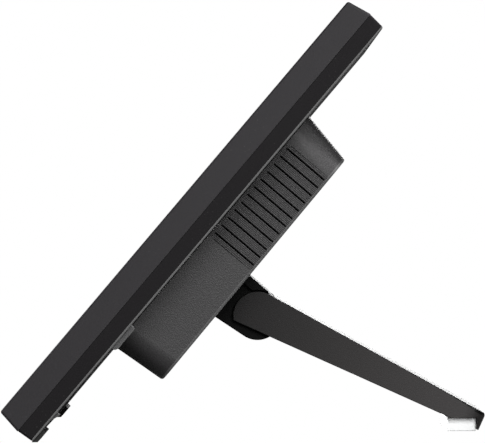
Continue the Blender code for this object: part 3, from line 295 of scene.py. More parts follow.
def block(x_range, y_range, z_range, radius=0.0, segments=2, bm=None):
    """A box given by its ranges, with its edges rounded."""
    made = empty_form()
    size = Vector([high - low for low, high in (x_range, y_range, z_range)])
    centre = Vector([(high + low) / 2 for low, high in (x_range, y_range, z_range)])
    bmesh.ops.create_cube(made, size=1.0, matrix=Matrix.LocRotScale(centre, None, size))
    if radius:
        round_over(made, made.edges, radius, segments)
    return gathered(made, bm)


def gathered(made, bm):
    """Add one form to another and return the result."""
    if bm is None:
        return made
    mesh = bpy.data.meshes.new("form")
    made.to_mesh(mesh)
    made.free()
    bm.from_mesh(mesh)
    bpy.data.meshes.remove(mesh)
    return bm


def extruded(points, x_range, radius=0.0, segments=3, bm=None):
    """A flat outline in depth and height, given a thickness across, with its long edges rounded."""
    made = empty_form()
    face = made.faces.new([made.verts.new((x_range[0], y, z)) for y, z in points])
    moved = bmesh.ops.extrude_face_region(made, geom=[face])["geom"]
    bmesh.ops.translate(made, verts=[g for g in moved if isinstance(g, bmesh.types.BMVert)],
                        vec=(x_range[1] - x_range[0], 0.0, 0.0))
    bmesh.ops.recalc_face_normals(made, faces=made.faces)
    if radius:
        round_over(made, sharp_edges(made, math.radians(35)), radius, segments)
    return gathered(made, bm)


def rod(radius, centre, size, axis, sides=24, bm=None, top=None, edge=0.0):
    """A round bar on a point, along X, Y or Z, with its rims rounded."""
    made = empty_form()
    angle, about = {'X': (90, 'Y'), 'Y': (-90, 'X'), 'Z': (0, 'Z')}[axis]
    bmesh.ops.create_cone(made, cap_ends=True, segments=sides, radius1=radius,
                          radius2=radius if top is None else top, depth=size)
    if edge:
        round_over(made, sharp_edges(made), edge, 3)
    made.transform(Matrix.Translation(centre) @ Matrix.Rotation(math.radians(angle), 4, about))
    return gathered(made, bm)


def arc(centre, radius, start, end, count):
    """Points round an arc; angles in degrees from +y towards +z."""
    angles = [math.radians(start + (end - start) * step / count) for step in range(count + 1)]
    return [(centre[0] + radius * math.cos(a), centre[1] + radius * math.sin(a)) for a in angles]


def screw_places(kind, axes, count=4):
    """Lowest corner, highest corner and middle of each screw of a kind."""
    for number in range(1, count + 1):
        low, high = local_box(f"{kind}_{number}", axes)
        yield low, high, (low + high) / 2


def shown_for_a_moment(bm):
    """The form as an object of its own, for a modifier to use."""
    mesh = bpy.data.meshes.new("form")
    bm.to_mesh(mesh)
    bm.free()
    item = bpy.data.objects.new("form", mesh)
    bpy.context.scene.collection.objects.link(item)
    return item


def carved(bm, *steps):
    """Join or cut closed forms with a piece, in order. Each step is (operation, form)."""
    piece = shown_for_a_moment(bm)
    tools = []
    for operation, form in steps:
        tools.append(shown_for_a_moment(form))
        step = piece.modifiers.new(operation, 'BOOLEAN')
        step.operation = operation
        step.object = tools[-1]
        step.solver = 'EXACT'
    bpy.context.view_layer.update()
    graph = bpy.context.evaluated_depsgraph_get()
    mesh = bpy.data.meshes.new_from_object(piece.evaluated_get(graph))
    result = bmesh.new()
    result.from_mesh(mesh)
    bpy.data.meshes.remove(mesh)
    for item in [piece] + tools:
        old = item.data
        bpy.data.objects.remove(item)
        bpy.data.meshes.remove(old)
    bmesh.ops.remove_doubles(result, verts=result.verts, dist=MERGE)
    bmesh.ops.dissolve_degenerate(result, edges=result.edges, dist=MERGE)
    return result


def add_piece(name, bm, axes, slot, body, *nodes):
    """Put a finished form in place, with its finish, its body and the solid parts it stands for."""
    bm.transform(axes)
    for face in bm.faces:
        face.smooth = True
    for edge in bm.edges:
        edge.smooth = edge.calc_face_angle(0.0) < SHARP
    mesh = bpy.data.meshes.new(name)
    bm.to_mesh(mesh)
    bm.free()
    mesh.materials.append(FINISHES[slot])
    piece = bpy.data.objects.new(name, mesh)
    bpy.context.scene.collection.objects.link(piece)
    if not mesh.polygons:
        raise RuntimeError(f"{name} came out empty")
    piece.modifiers.new("Even shading", 'WEIGHTED_NORMAL').keep_sharp = True
    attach(piece, body)
    if nodes:
        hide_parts(*nodes)


# ---- Shader groups ----

def node(tree, kind, inputs=None, **settings):
    """A shader node with its settings, and its inputs given as values or as other nodes' sockets."""
    made = tree.nodes.new("ShaderNode" + kind)
    for key, value in settings.items():
        setattr(made, key, value)
    for key, value in (inputs or {}).items():
        if isinstance(value, bpy.types.NodeSocket):
            tree.links.new(value, made.inputs[key])
        else:
            made.inputs[key].default_value = value
    return made


def calculated(tree, operation, *values):
    return node(tree, "Math", dict(enumerate(values)), operation=operation).outputs[0]


def noise(tree, at, scale, **inputs):
    return node(tree, "TexNoise", {"Vector": at, "Scale": scale, **inputs}).outputs["Fac"]


def ranged(tree, value, start, end, first=0.0, last=1.0):
    """A value carried from one range to another and held at its ends."""
    return node(tree, "MapRange", {"Value": value, "From Min": start, "From Max": end, "To Min": first,
                                   "To Max": last}).outputs["Result"]


def blended(tree, share, first, second):
    """A mix of two colours."""
    return node(tree, "Mix", {"Factor": share, 6: first, 7: second}, data_type='RGBA').outputs[2]


def toned(tree, tone, value):
    """A colour made lighter or darker."""
    return node(tree, "HueSaturation", {"Color": tone, "Value": value}).outputs["Color"]


def give(tree, target, sockets):
    for label, socket in sockets.items():
        tree.links.new(socket, target.inputs[label])


def bump(tree, shader, height, strength, distance):
    made = node(tree, "Bump", {"Height": height, "Strength": strength, "Distance": distance})
    tree.links.new(made.outputs[0], shader.inputs["Normal"])


def object_coordinates(tree):
    return node(tree, "TexCoord").outputs["Object"]


def shader_group(name, inputs, outputs):
    """An empty group. Each input comes with its default, and an output named Color is a colour."""
    kinds = {1: 'NodeSocketFloat', 3: 'NodeSocketVector', 4: 'NodeSocketColor'}
    tree = bpy.data.node_groups.new(name, 'ShaderNodeTree')
    for label, default in inputs.items():
        kind = kinds[1 if isinstance(default, float) else len(default)]
        tree.interface.new_socket(label, in_out='INPUT', socket_type=kind).default_value = default
    for label in outputs:
        tree.interface.new_socket(label, in_out='OUTPUT', socket_type=kinds[4 if label == "Color" else 1])
    return tree, tree.nodes.new("NodeGroupInput").outputs, tree.nodes.new("NodeGroupOutput")


def spark_grain_group():
    """The fine pitted skin that a spark-eroded mould leaves on plastic."""
    tree, given, result = shader_group("Spark Grain", {"Cell": 0.0004}, ("Height", "Fleck"))
    at = object_coordinates(tree)
    per_metre = calculated(tree, 'DIVIDE', 1.0, given["Cell"])
    pits = node(tree, "TexVoronoi", {"Vector": at, "Scale": per_metre}, feature='SMOOTH_F1')
    grit = noise(tree, at, per_metre, Detail=2.0, Roughness=0.6)
    height = calculated(tree, 'MULTIPLY_ADD', grit, 0.7, pits.outputs["Distance"])
    give(tree, result, {"Height": height, "Fleck": ranged(tree, grit, 0.30, 0.70)})


def moulded_tone_group():
    """Slow changes of tone and gloss where plastic flowed and cooled unevenly in its mould."""
    tree, given, result = shader_group(
        "Moulded Tone", {"Color": MID_GREY, "Variation": 0.1, "Fleck": 0.5, "Fleck Amount": 0.1},
        ("Color", "Sheen Mask"))
    at = object_coordinates(tree)
    broad = noise(tree, at, 14.0, Detail=3.0, Distortion=0.6)
    close = noise(tree, at, 120.0, Detail=4.0)
    both = node(tree, "Mix", {"Factor": 0.35, 2: broad, 3: close}).outputs[0]
    swing = calculated(tree, 'MULTIPLY', calculated(tree, 'SUBTRACT', both, 0.5), given["Variation"])
    flecks = calculated(tree, 'MULTIPLY', calculated(tree, 'SUBTRACT', given["Fleck"], 0.5),
                        given["Fleck Amount"])
    value = calculated(tree, 'ADD', calculated(tree, 'MULTIPLY_ADD', swing, 4.0, 1.0), flecks)
    give(tree, result, {"Color": toned(tree, given["Color"], value), "Sheen Mask": both})


def painted_light_group():
    """Painted light and shade: a tone made lighter or darker between two places along a direction."""
    tree, given, result = shader_group(
        "Painted Light Along", {"Way": (0.0, 1.0, 0.0), "Start": 0.0, "End": 0.1, "First": 1.0, "Last": 1.0,
                       "Color": MID_GREY}, ("Color",))
    place = node(tree, "VectorMath", {0: object_coordinates(tree), 1: given["Way"]}, operation='DOT_PRODUCT')
    share = ranged(tree, place.outputs["Value"], given["Start"], given["End"], given["First"], given["Last"])
    give(tree, result, {"Color": toned(tree, given["Color"], share)})


def settled_dust_group():
    """Sparse specks of lint, gathered in loose patches."""
    tree, given, result = shader_group("Settled Dust", {"Amount": 0.3}, ("Mask",))
    at = object_coordinates(tree)
    specks = node(tree, "TexVoronoi", {"Vector": at, "Scale": 420.0, "Randomness": 1.0})
    dots = ranged(tree, specks.outputs["Distance"], 0.16, 0.05)
    where = ranged(tree, noise(tree, at, 30.0, Detail=2.0), 0.50, 0.72)
    spread = calculated(tree, 'MULTIPLY', dots, where)
    give(tree, result, {"Mask": calculated(tree, 'MULTIPLY', spread, given["Amount"])})


def brushed_group():
    """Long fine scratches across the object, as on drawn or rolled metal."""
    tree, given, result = shader_group("Brushed Lines", {"Along": 30.0, "Across": 2600.0},
                                       ("Height", "Polish"))
    scale = node(tree, "CombineXYZ", {"X": given["Along"], "Y": given["Across"], "Z": given["Across"]})
    at = node(tree, "VectorMath", {0: object_coordinates(tree), 1: scale.outputs[0]}, operation='MULTIPLY')
    give(tree, result, {"Height": noise(tree, at.outputs[0], 1.0, Detail=4.0, Roughness=0.7),
                        "Polish": noise(tree, object_coordinates(tree), 60.0, Detail=5.0)})


def slat_lines_group():
    """Hairlines moulded along each slat of the side vents."""
    sizes = bpy.context.scene.photo_frame_sizes
    tree, given, result = shader_group("Slat Lines", {"Lines Per Slat": 5.0}, ("Height",))
    turned = node(tree, "Mapping", {"Vector": object_coordinates(tree), "Location": SLAB.translation,
                                    "Rotation": SLAB.to_euler()}, vector_type='TEXTURE')
    rise = node(tree, "SeparateXYZ", {0: turned.outputs[0]}).outputs["Z"]
    from_first = calculated(tree, 'SUBTRACT', rise, HOUSING_LOW.z + sizes.vent_first)
    share = calculated(tree, 'DIVIDE', from_first, sizes.vent_pitch)
    count = calculated(tree, 'MULTIPLY', share, given["Lines Per Slat"])
    wave = calculated(tree, 'COSINE', calculated(tree, 'MULTIPLY', count, 2 * math.pi))
    zone = calculated(tree, 'MULTIPLY', calculated(tree, 'GREATER_THAN', share, -0.55),
                      calculated(tree, 'LESS_THAN', share, sizes.vent_count - 0.6))
    give(tree, result, {"Height": calculated(tree, 'MULTIPLY', wave, zone)})


# ---- Finishes ----

def new_finish(name, roughness, metallic=0.0, gleam=0.5):
    made = bpy.data.materials.new(name)
    made.use_nodes = True
    shader = made.node_tree.nodes["Principled BSDF"]
    shader.inputs["Roughness"].default_value = roughness
    shader.inputs["Metallic"].default_value = metallic
    shader.inputs["Specular IOR Level"].default_value = gleam
    return made, made.node_tree, shader


def grouped(tree, name, inputs):
    return node(tree, "Group", inputs, node_tree=bpy.data.node_groups[name]).outputs


def painted_light_steps(axes, axis, *steps):
    """Painted light and shade along one axis of a frame, each (from, to, share of the colour at each end)."""
    way = axes.col[axis].xyz
    start = way.dot(axes.translation)
    return [(way, start + near, start + far, first, last) for near, far, first, last in steps]


def moulded(name, base, roughness, cell, depth, variation=0.06, fleck=0.2, dust=0.10, wear_and_light_share=0.25, slats=0.0,
            gleam=0.35, edge=None, painted_light=()):
    """Moulded plastic: grain, uneven tone, a different tone along rounded edges and a little lint.

    edge is the tone of the rounded edges, partly wear and partly a painted highlight (a painted dark line on
    the leg), and each of painted_light is a band of painted highlight and shade made by painted_light_steps.
    """
    made, tree, shader = new_finish(name, roughness, gleam=gleam)
    grain = grouped(tree, "Spark Grain", {"Cell": cell})
    tone = grouped(tree, "Moulded Tone", {"Color": (*base, 1.0), "Variation": variation,
                                          "Fleck": grain["Fleck"], "Fleck Amount": fleck})
    # Rounded edges take their own tone: partly wear, partly a painted highlight, and a painted dark edge line
    # where that tone is darker.
    wear_and_light_mask = node(tree, "Attribute", attribute_name=WEAR_AND_PAINTED_LIGHT).outputs["Fac"]
    wear_and_light_tone = (edge,) * 3 if edge else [min(1.0, 2.4 * c + 0.02) for c in base]
    coloured = blended(tree, calculated(tree, 'MULTIPLY', wear_and_light_mask, wear_and_light_share), tone["Color"], (*wear_and_light_tone, 1.0))
    lint = grouped(tree, "Settled Dust", {"Amount": dust})
    coloured = blended(tree, lint["Mask"], coloured, (0.35, 0.34, 0.32, 1.0))
    # Painted highlight and shade in bands along the piece.
    for way, start, end, first, last in painted_light:
        coloured = grouped(tree, "Painted Light Along", {"Way": way, "Start": start, "End": end, "First": first,
                                                "Last": last, "Color": coloured})["Color"]
    uneven = ranged(tree, tone["Sheen Mask"], 0.0, 1.0, roughness - 0.07, roughness + 0.07)
    gloss = calculated(tree, 'SUBTRACT', uneven, calculated(tree, 'MULTIPLY', wear_and_light_mask, 0.12))
    give(tree, shader, {"Base Color": coloured, "Roughness": gloss})
    height = grain["Height"]
    if slats:
        lines = grouped(tree, "Slat Lines", {"Lines Per Slat": 6.0})
        height = calculated(tree, 'MULTIPLY_ADD', lines["Height"], slats, height)
    bump(tree, shader, height, depth, 0.0002)
    return made


def metal(name, base, roughness, along=30.0, across=2600.0):
    """Plated, rolled or cast metal: fine lines, and duller where it has been touched."""
    made, tree, shader = new_finish(name, roughness, metallic=1.0)
    lines = grouped(tree, "Brushed Lines", {"Along": along, "Across": across})
    tone = grouped(tree, "Moulded Tone", {"Color": (*base, 1.0), "Variation": 0.10,
                                          "Fleck": lines["Height"], "Fleck Amount": 0.15})
    dull = ranged(tree, lines["Polish"], 0.3, 0.7, roughness - 0.08, roughness + 0.14)
    give(tree, shader, {"Base Color": tone["Color"], "Roughness": dull})
    bump(tree, shader, lines["Height"], 0.25, 0.00008)
    return made


def circuit_board(name, base):
    """Solder mask over copper tracks, with rows of bare pads."""
    made, tree, shader = new_finish(name, 0.35)
    at = object_coordinates(tree)
    shades = {label: (*[share * c for c in base], 1.0)
              for label, share in (("Color1", 1.0), ("Color2", 0.8), ("Mortar", 1.9))}
    tracks = node(tree, "TexBrick", {"Vector": at, "Scale": 260.0, "Mortar Size": 0.035, **shades})
    pads = node(tree, "TexVoronoi", {"Vector": at, "Scale": 330.0, "Randomness": 0.35}, distance='CHEBYCHEV')
    bare = calculated(tree, 'LESS_THAN', pads.outputs["Distance"], 0.16)
    patch = noise(tree, at, 55.0)
    bare = calculated(tree, 'MULTIPLY', bare, calculated(tree, 'GREATER_THAN', patch, 0.55))
    surface = blended(tree, bare, tracks.outputs["Color"], (0.62, 0.60, 0.55, 1.0))
    give(tree, shader, {"Base Color": surface, "Metallic": bare})
    bump(tree, shader, tracks.outputs["Fac"], 0.2, 0.00005)
    return made


def pane_glass(name):
    """Clear pane with faint smears of cleaning."""
    made, tree, shader = new_finish(name, 0.03)
    shader.inputs["Base Color"].default_value = (0.97, 0.98, 0.98, 1.0)
    shader.inputs["Transmission Weight"].default_value = 1.0
    shader.inputs["IOR"].default_value = 1.5
    smears = noise(tree, object_coordinates(tree), 22.0, Detail=6.0, Distortion=1.2)
    give(tree, shader, {"Roughness": ranged(tree, smears, 0.52, 0.80, 0.02, 0.09)})
    return made


def dark_screen(name):
    """A display that is switched off: a fine grid of cells under a smooth black face."""
    made, tree, shader = new_finish(name, 0.22)
    grid = node(tree, "TexBrick", {"Vector": object_coordinates(tree), "Scale": 1000.0, "Mortar Size": 0.06,
                                   "Color1": (0.0045, 0.0047, 0.0060, 1.0),
                                   "Color2": (0.0052, 0.0050, 0.0058, 1.0),
                                   "Mortar": (0.0020, 0.0020, 0.0022, 1.0)}, offset=0.0)
    give(tree, shader, {"Base Color": grid.outputs["Color"]})
    shader.inputs["Coat Weight"].default_value = 0.6
    shader.inputs["Coat Roughness"].default_value = 0.08
    return made


FINISHES = {}


def make_finishes():
    tints = bpy.context.scene.photo_frame_colours
    for make_group in (spark_grain_group, moulded_tone_group, painted_light_group, settled_dust_group,
                       brushed_group, slat_lines_group):
        make_group()
    # The slab's top edge and top face are painted lighter, as a painted highlight.
    painted_top_highlight = (HEIGHT - 0.0014, HEIGHT - 0.0008, 1.0)
    FINISHES.update({
        # Bezel and shell: a painted highlight along the top edge, and rounded edges lightened partly by wear
        # and partly as a painted highlight.
        "bezel": moulded("bezel_satin_black", tints.bezel, 0.52, 0.00035, 0.16, wear_and_light_share=0.16, fleck=0.08,
                         gleam=0.20, painted_light=painted_light_steps(SLAB, 2, (*painted_top_highlight, 2.5))),
        "shell": moulded("shell_black", tints.shell, 0.58, 0.00040, 0.24, wear_and_light_share=0.95, fleck=0.30, gleam=0.10,
                         edge=0.12, painted_light=painted_light_steps(SLAB, 2, (*painted_top_highlight, 4.0))),
        # Housing: painted shade towards its lower end, a painted highlight band near the top and painted
        # shade above it towards the top edge; its rounded edges are lightened partly by wear and partly as a
        # painted highlight.
        "housing": moulded("housing_charcoal", tints.housing, 0.50, 0.00055, 0.55, fleck=0.60, wear_and_light_share=0.70,
                           slats=0.9, gleam=0.34, edge=0.10,
                           painted_light=painted_light_steps(SLAB, 2, (0.072, 0.078, 0.30, 1.0), (0.2195, 0.2245, 1.0, 1.9),
                                             (0.2255, 0.2290, 1.0, 0.4))),
        "bracket": moulded("bracket_black", tints.bracket, 0.50, 0.00035, 0.20, wear_and_light_share=0.06, gleam=0.04),
        # Leg: painted shade, darkest by the hinge where the slab shades it and lighter towards the tip, then
        # painted shade over the rounded tip corners; its rounded edges are darkened as painted shade.
        "leg": moulded("leg_charcoal", tints.leg, 0.48, 0.00045, 0.30, wear_and_light_share=0.90, fleck=0.22, gleam=0.08,
                       edge=0.003, painted_light=painted_light_steps(LEG, 1, (-0.010, 0.129, 0.30, 1.10),
                                                     (0.1316, 0.1404, 1.0, 0.35))),
        # Keys: rounded edges lightened partly by wear and partly as a painted highlight outline.
        "key": moulded("key_grey", tints.key, 0.38, 0.00030, 0.12, wear_and_light_share=0.90, dust=0.0, edge=0.10),
        "silicone": moulded("pad_silicone", tints.pad, 0.45, 0.0009, 0.12, variation=0.03, fleck=0.02,
                            wear_and_light_share=0.0),
        "rubber": moulded("foot_rubber", tints.rubber, 0.80, 0.00060, 0.45, wear_and_light_share=0.10, dust=0.30),
        "mat": moulded("mat_card", (0.010, 0.010, 0.011), 0.92, 0.00025, 0.60, fleck=0.5, wear_and_light_share=0.0),
        "white_plastic": moulded("backlight_white", (0.75, 0.75, 0.73), 0.60, 0.0006, 0.15),
        "steel": metal("pressed_steel", (0.42, 0.42, 0.41), 0.40),
        "zinc": metal("zinc_plate", (0.55, 0.55, 0.53), 0.32, along=500.0, across=900.0),
        "aluminium": metal("extruded_aluminium", (0.62, 0.62, 0.63), 0.36, along=2600.0, across=200.0),
        "brass": metal("brass_disc", (0.56, 0.40, 0.14), 0.34, along=900.0, across=900.0),
        "board": circuit_board("solder_mask_green", tints.board),
        "glass": pane_glass("pane_glass"),
        "screen": dark_screen("screen_off"),
    })


# ---- Pieces ----

class BuildBezel(bpy.types.Operator):
    """The front bezel: a drafted border with a sloped picture opening and a rounded front edge"""
    bl_idname = "photo_frame.build_bezel"
    bl_label = "Front bezel"

    def execute(self, context):
        sizes = context.scene.photo_frame_sizes
        wall, inner_corner, mouth_corner = 0.005, 0.0015, 0.0008

        def opening(grow, depth, radius):
            return (OPENING_HALF + grow, MIDDLE - OPENING_RISE - grow, MIDDLE + OPENING_RISE + grow, depth,
                    radius)

        inner = (HALF_WIDTH - wall, wall, HEIGHT - wall)
        form = lofted([opening(0.0, BEZEL_WALL, mouth_corner), opening(0.0, 0.45 * BEZEL_WALL, mouth_corner),
                       opening(sizes.opening_chamfer, 0.0, 0.0020),
                       (HALF_WIDTH - sizes.front_inset, sizes.front_inset, HEIGHT - sizes.top_inset, 0.0,
                        sizes.slab_corner),
                       (HALF_WIDTH, 0.0, HEIGHT, BEZEL_DEPTH, sizes.slab_corner),
                       (*inner, BEZEL_DEPTH, inner_corner), (*inner, BEZEL_WALL, inner_corner)], True,
                      [(3, sizes.front_round), (2, 0.0004), (4, sizes.parting_round)])
        middle = (BEZEL_WALL / 2 + BEZEL_DEPTH - GAP) / 2
        bosses, pilots = empty_form(), empty_form()
        for _, _, at in screw_places("shell_screw", SLAB):
            rod(BOSS, (at.x, middle, at.z), 2 * middle - BEZEL_WALL, 'Y', bm=bosses)
            rod(PILOT, (at.x, BEZEL_DEPTH, at.z), 1.4 * BEZEL_DEPTH, 'Y', bm=pilots)
        form = carved(form, ('UNION', bosses), ('DIFFERENCE', pilots))
        add_piece("bezel", form, SLAB, "bezel", "slab", "front_bezel")
        return {'FINISHED'}


class BuildShell(bpy.types.Operator):
    """The rear shell: a drafted tray with a lip, key openings and deep screw seats"""
    bl_idname = "photo_frame.build_shell"
    bl_label = "Rear shell"

    def execute(self, context):
        sizes = context.scene.photo_frame_sizes
        step, lip, draft, inner_corner = 0.0003, 0.0053, 0.0011, 0.0015
        inside = lip + 0.002
        lip_front = SHELL_FRONT - 0.003
        floor = SLAB_DEPTH - SHEET

        def outline(inset, depth, radius=inner_corner):
            return (HALF_WIDTH - inset, inset, HEIGHT - inset, depth, radius)

        form = lofted([outline(inside, floor), outline(inside, lip_front), outline(lip, lip_front),
                       outline(lip, SHELL_FRONT), outline(step, SHELL_FRONT - 0.0002, sizes.slab_corner),
                       outline(draft, SLAB_DEPTH, sizes.slab_corner)],
                      False, [(5, sizes.shell_round), (4, sizes.parting_round)])
        for face in form.faces:
            if face.calc_center_median().y < SHELL_FRONT + GAP:
                face[form.faces.layers.float[WEAR_AND_PAINTED_LIGHT]] = 0.0
        border = 0.008
        through = (floor - SHEET, SLAB_DEPTH + SHEET)
        openings = block((border - HOUSING_HALF, HOUSING_HALF - border), through,
                         (HOUSING_LOW.z + border, HOUSING_HIGH.z - border))
        for key in ("menu_rocker", "power_button"):
            low, high = local_box(key, SLAB)
            block((low.x - RUN_GAP, high.x + RUN_GAP), through, (low.z - RUN_GAP, high.z + RUN_GAP),
                  radius=0.0007, bm=openings)
        bosses, shanks, seats = empty_form(), empty_form(), empty_form()
        back = SLAB_DEPTH - SHEET / 2
        for _, high, at in screw_places("shell_screw", SLAB):
            seat = high.y - SCREW_HEAD - GAP
            rod(BOSS, (at.x, (SHELL_FRONT + back) / 2, at.z), back - SHELL_FRONT, 'Y', bm=bosses)
            rod(PILOT, (at.x, SLAB_DEPTH, at.z), 2 * SLAB_DEPTH, 'Y', bm=shanks)
            rod(SEAT, (at.x, seat + SLAB_DEPTH / 2, at.z), SLAB_DEPTH, 'Y', bm=seats)
        form = carved(form, ('UNION', bosses), ('DIFFERENCE', shanks), ('DIFFERENCE', seats),
                      ('DIFFERENCE', openings))
        add_piece("shell", form, SLAB, "shell", "slab", "rear_shell")
        return {'FINISHED'}


class BuildHousing(bpy.types.Operator):
    """The vented housing: a drafted hollow body with rows of slots and openings for the sockets"""
    bl_idname = "photo_frame.build_housing"
    bl_label = "Rear housing"

    def outline(self, sizes, shrink, rim):
        low, high = (HOUSING_LOW.z, HOUSING_HIGH.z) if rim else (BACK_LOW, BACK_HIGH)
        low += shrink
        high -= shrink
        half = HOUSING_HALF - shrink - (0.0 if rim else HOUSING_DRAFTS[2])
        depth = HOUSING_RIM if rim else (housing_back(low) - shrink, housing_back(high) - shrink)
        return (half, low, high, depth, sizes.housing_corner - shrink)

    def vents(self, sizes):
        """Slots with rounded ends through both walls, and the shallow lines that border them."""
        slots, grooves = empty_form(), empty_form()
        end, beyond, rim, line = 0.0018, 0.01, 0.0034, 0.0002
        first = HOUSING_LOW.z + sizes.vent_first
        for number in range(sizes.vent_count):
            centre = first + number * sizes.vent_pitch
            for side, _ in SIDES:
                across = sorted(side * (HOUSING_HALF + x) for x in (-0.007, beyond))
                made = block(across, (SLAB_DEPTH + 0.0020, housing_back(centre) - end),
                             (centre - sizes.vent_slot / 2, centre + sizes.vent_slot / 2))
                ends = [e for e in made.edges if abs(e.verts[0].co.x - e.verts[1].co.x) > 0.001]
                round_over(made, ends, 0.48 * sizes.vent_slot, 3)
                gathered(made, slots)
        top = first + (sizes.vent_count - 1) * sizes.vent_pitch
        for height in (first - 0.0033, top + 0.0026):
            for side, _ in SIDES:
                across = sorted(side * (HOUSING_HALF + x) for x in (-HOUSING_DRAFTS[2] - line, beyond))
                block(across, (SLAB_DEPTH + rim, housing_back(height) - end),
                      (height - line, height + line), bm=grooves)
        return slots, grooves

    def baffles(self, sizes):
        """A rib behind each row of slots, standing on the back wall, that keeps light and dust out."""
        low = HOUSING_LOW.z + sizes.vent_first - sizes.vent_pitch
        high = HOUSING_LOW.z + sizes.vent_first + sizes.vent_count * sizes.vent_pitch
        outer, thick = HOUSING_HALF - 0.0125, 0.0015
        depth = (SLAB_DEPTH + 0.002, housing_back(high) - HOUSING_WALL / 2)
        ribs = block((outer - thick, outer), depth, (low, high))
        return block((-outer, -outer + thick), depth, (low, high), bm=ribs)

    def sockets(self):
        """Openings for the card slot and the USB socket in the left wall, and for power below."""
        openings = empty_form()
        for name, inset, end_inset in (("card_slot", 0.0007, 0.0017), ("usb_socket", 0.0006, 0.0006)):
            low, high = local_box(name, SLAB)
            block((-HOUSING_HALF - 0.01, -HOUSING_HALF + 2 * HOUSING_WALL), (low.y + inset, high.y - inset),
                  (low.z + end_inset, high.z - end_inset), radius=0.0004, bm=openings)
        low, high = local_box("dc_inlet", SLAB)
        return block((low.x - GAP, high.x + GAP), (low.y - GAP, high.y + GAP),
                     (0.0, HOUSING_LOW.z + 3 * HOUSING_WALL), radius=0.0006, bm=openings)

    def execute(self, context):
        sizes = context.scene.photo_frame_sizes
        form = lofted([self.outline(sizes, HOUSING_WALL, False), self.outline(sizes, HOUSING_WALL, True),
                       self.outline(sizes, 0.0, True), self.outline(sizes, 0.0, False)],
                      False, [(3, sizes.housing_round)])
        slots, grooves = self.vents(sizes)
        bosses, shanks, seats = empty_form(), empty_form(), empty_form()
        front = local_box("panel_chassis", SLAB)[1].y + GAP
        for _, high, at in screw_places("housing_screw", SLAB):
            seat = high.y - SCREW_HEAD - GAP
            back = housing_back(at.z) - HOUSING_WALL / 2
            rod(BOSS, (at.x, (front + back) / 2, at.z), back - front, 'Y', bm=bosses)
            rod(PILOT, (at.x, seat, at.z), SLAB_DEPTH, 'Y', bm=shanks)
            rod(SEAT, (at.x, seat + SLAB_DEPTH, at.z), 2 * SLAB_DEPTH, 'Y', bm=seats)
        for _, _, at in screw_places("hinge_screw", SLAB):
            rod(PILOT, (at.x, housing_back(HINGE.z), at.z), 4 * HOUSING_WALL, 'Y', bm=shanks)
        form = carved(form, ('UNION', bosses), ('DIFFERENCE', shanks), ('DIFFERENCE', seats),
                      ('DIFFERENCE', self.sockets()), ('DIFFERENCE', slots), ('DIFFERENCE', grooves),
                      ('UNION', self.baffles(sizes)))
        add_piece("housing", form, SLAB, "housing", "slab", "rear_housing")
        return {'FINISHED'}


class BuildBracket(bpy.types.Operator):
    """The hinge bracket: a barrel on the housing, with a full-width hood over the leg's head"""
    bl_idname = "photo_frame.build_bracket"
    bl_label = "Hinge bracket"

    def execute(self, context):
        axis = (HINGE.y, HINGE.z)
        low, high = HINGE.z - 0.0164, HINGE.z + 0.0148
        step = 0.0005
        hood_under, hood_end = 0.0094, 0.0036
        half = -local_box("leg_arm_right", LEG)[0].x + RUN_GAP
        body = extruded([(housing_back(high - step) + GAP, high - step), (housing_back(low) + GAP, low)]
                        + arc(axis, BARREL, -84, 82, 26) + [(HINGE.y - hood_end / 2, high - step)],
                        (half, -half), radius=0.0006)
        radius = LEG_HEAD + 2 * RUN_GAP
        under = HINGE.z + hood_under
        start = 180 - math.degrees(math.asin(hood_under / radius))
        end = math.degrees(math.acos(-hood_end / radius))
        hood = extruded([(housing_back(high) + GAP + step, high), (housing_back(under) + GAP + step, under)]
                        + arc(axis, radius, start, end, 12) + [(HINGE.y - hood_end, high)],
                        (-LEG_HALF, LEG_HALF), radius=0.0004)
        base = housing_back(HINGE.z)
        bore = rod(0.0043, (0.0, HINGE.y, HINGE.z), 4 * LEG_HALF, 'X', sides=40)
        pocket = block((-0.038, 0.038), (0.5 * base, HINGE.y + 0.0092),
                       (HINGE.z - 0.0105, HINGE.z + 0.0105), radius=0.0008)
        pilots = empty_form()
        for _, _, at in screw_places("hinge_screw", SLAB):
            rod(PILOT, (at.x, base, at.z), 0.026, 'Y', bm=pilots)
        form = carved(body, ('UNION', hood), ('DIFFERENCE', bore), ('DIFFERENCE', pocket),
                      ('DIFFERENCE', pilots))
        add_piece("bracket", form, SLAB, "bracket", "slab", "hinge_bracket")
        return {'FINISHED'}


def leg_top(y, inset=0.0):
    """Height of the leg's top line, or of a line inside it, at a distance from the axis."""
    slope = (LEG_HEAD - LEG_TIP_RISE) / LEG_REACH
    return LEG_HEAD / math.cos(math.atan(slope)) - slope * y - inset


def desk_to_leg(across, up):
    """A point given from the lip's foot, along the desk and up, in the leg's axes."""
    world = LEG @ Vector((0.0, LEG_REACH, -LEG_UNDER))
    return tuple((LEG.inverted() @ Vector((0.0, world.y + across, up)))[1:])


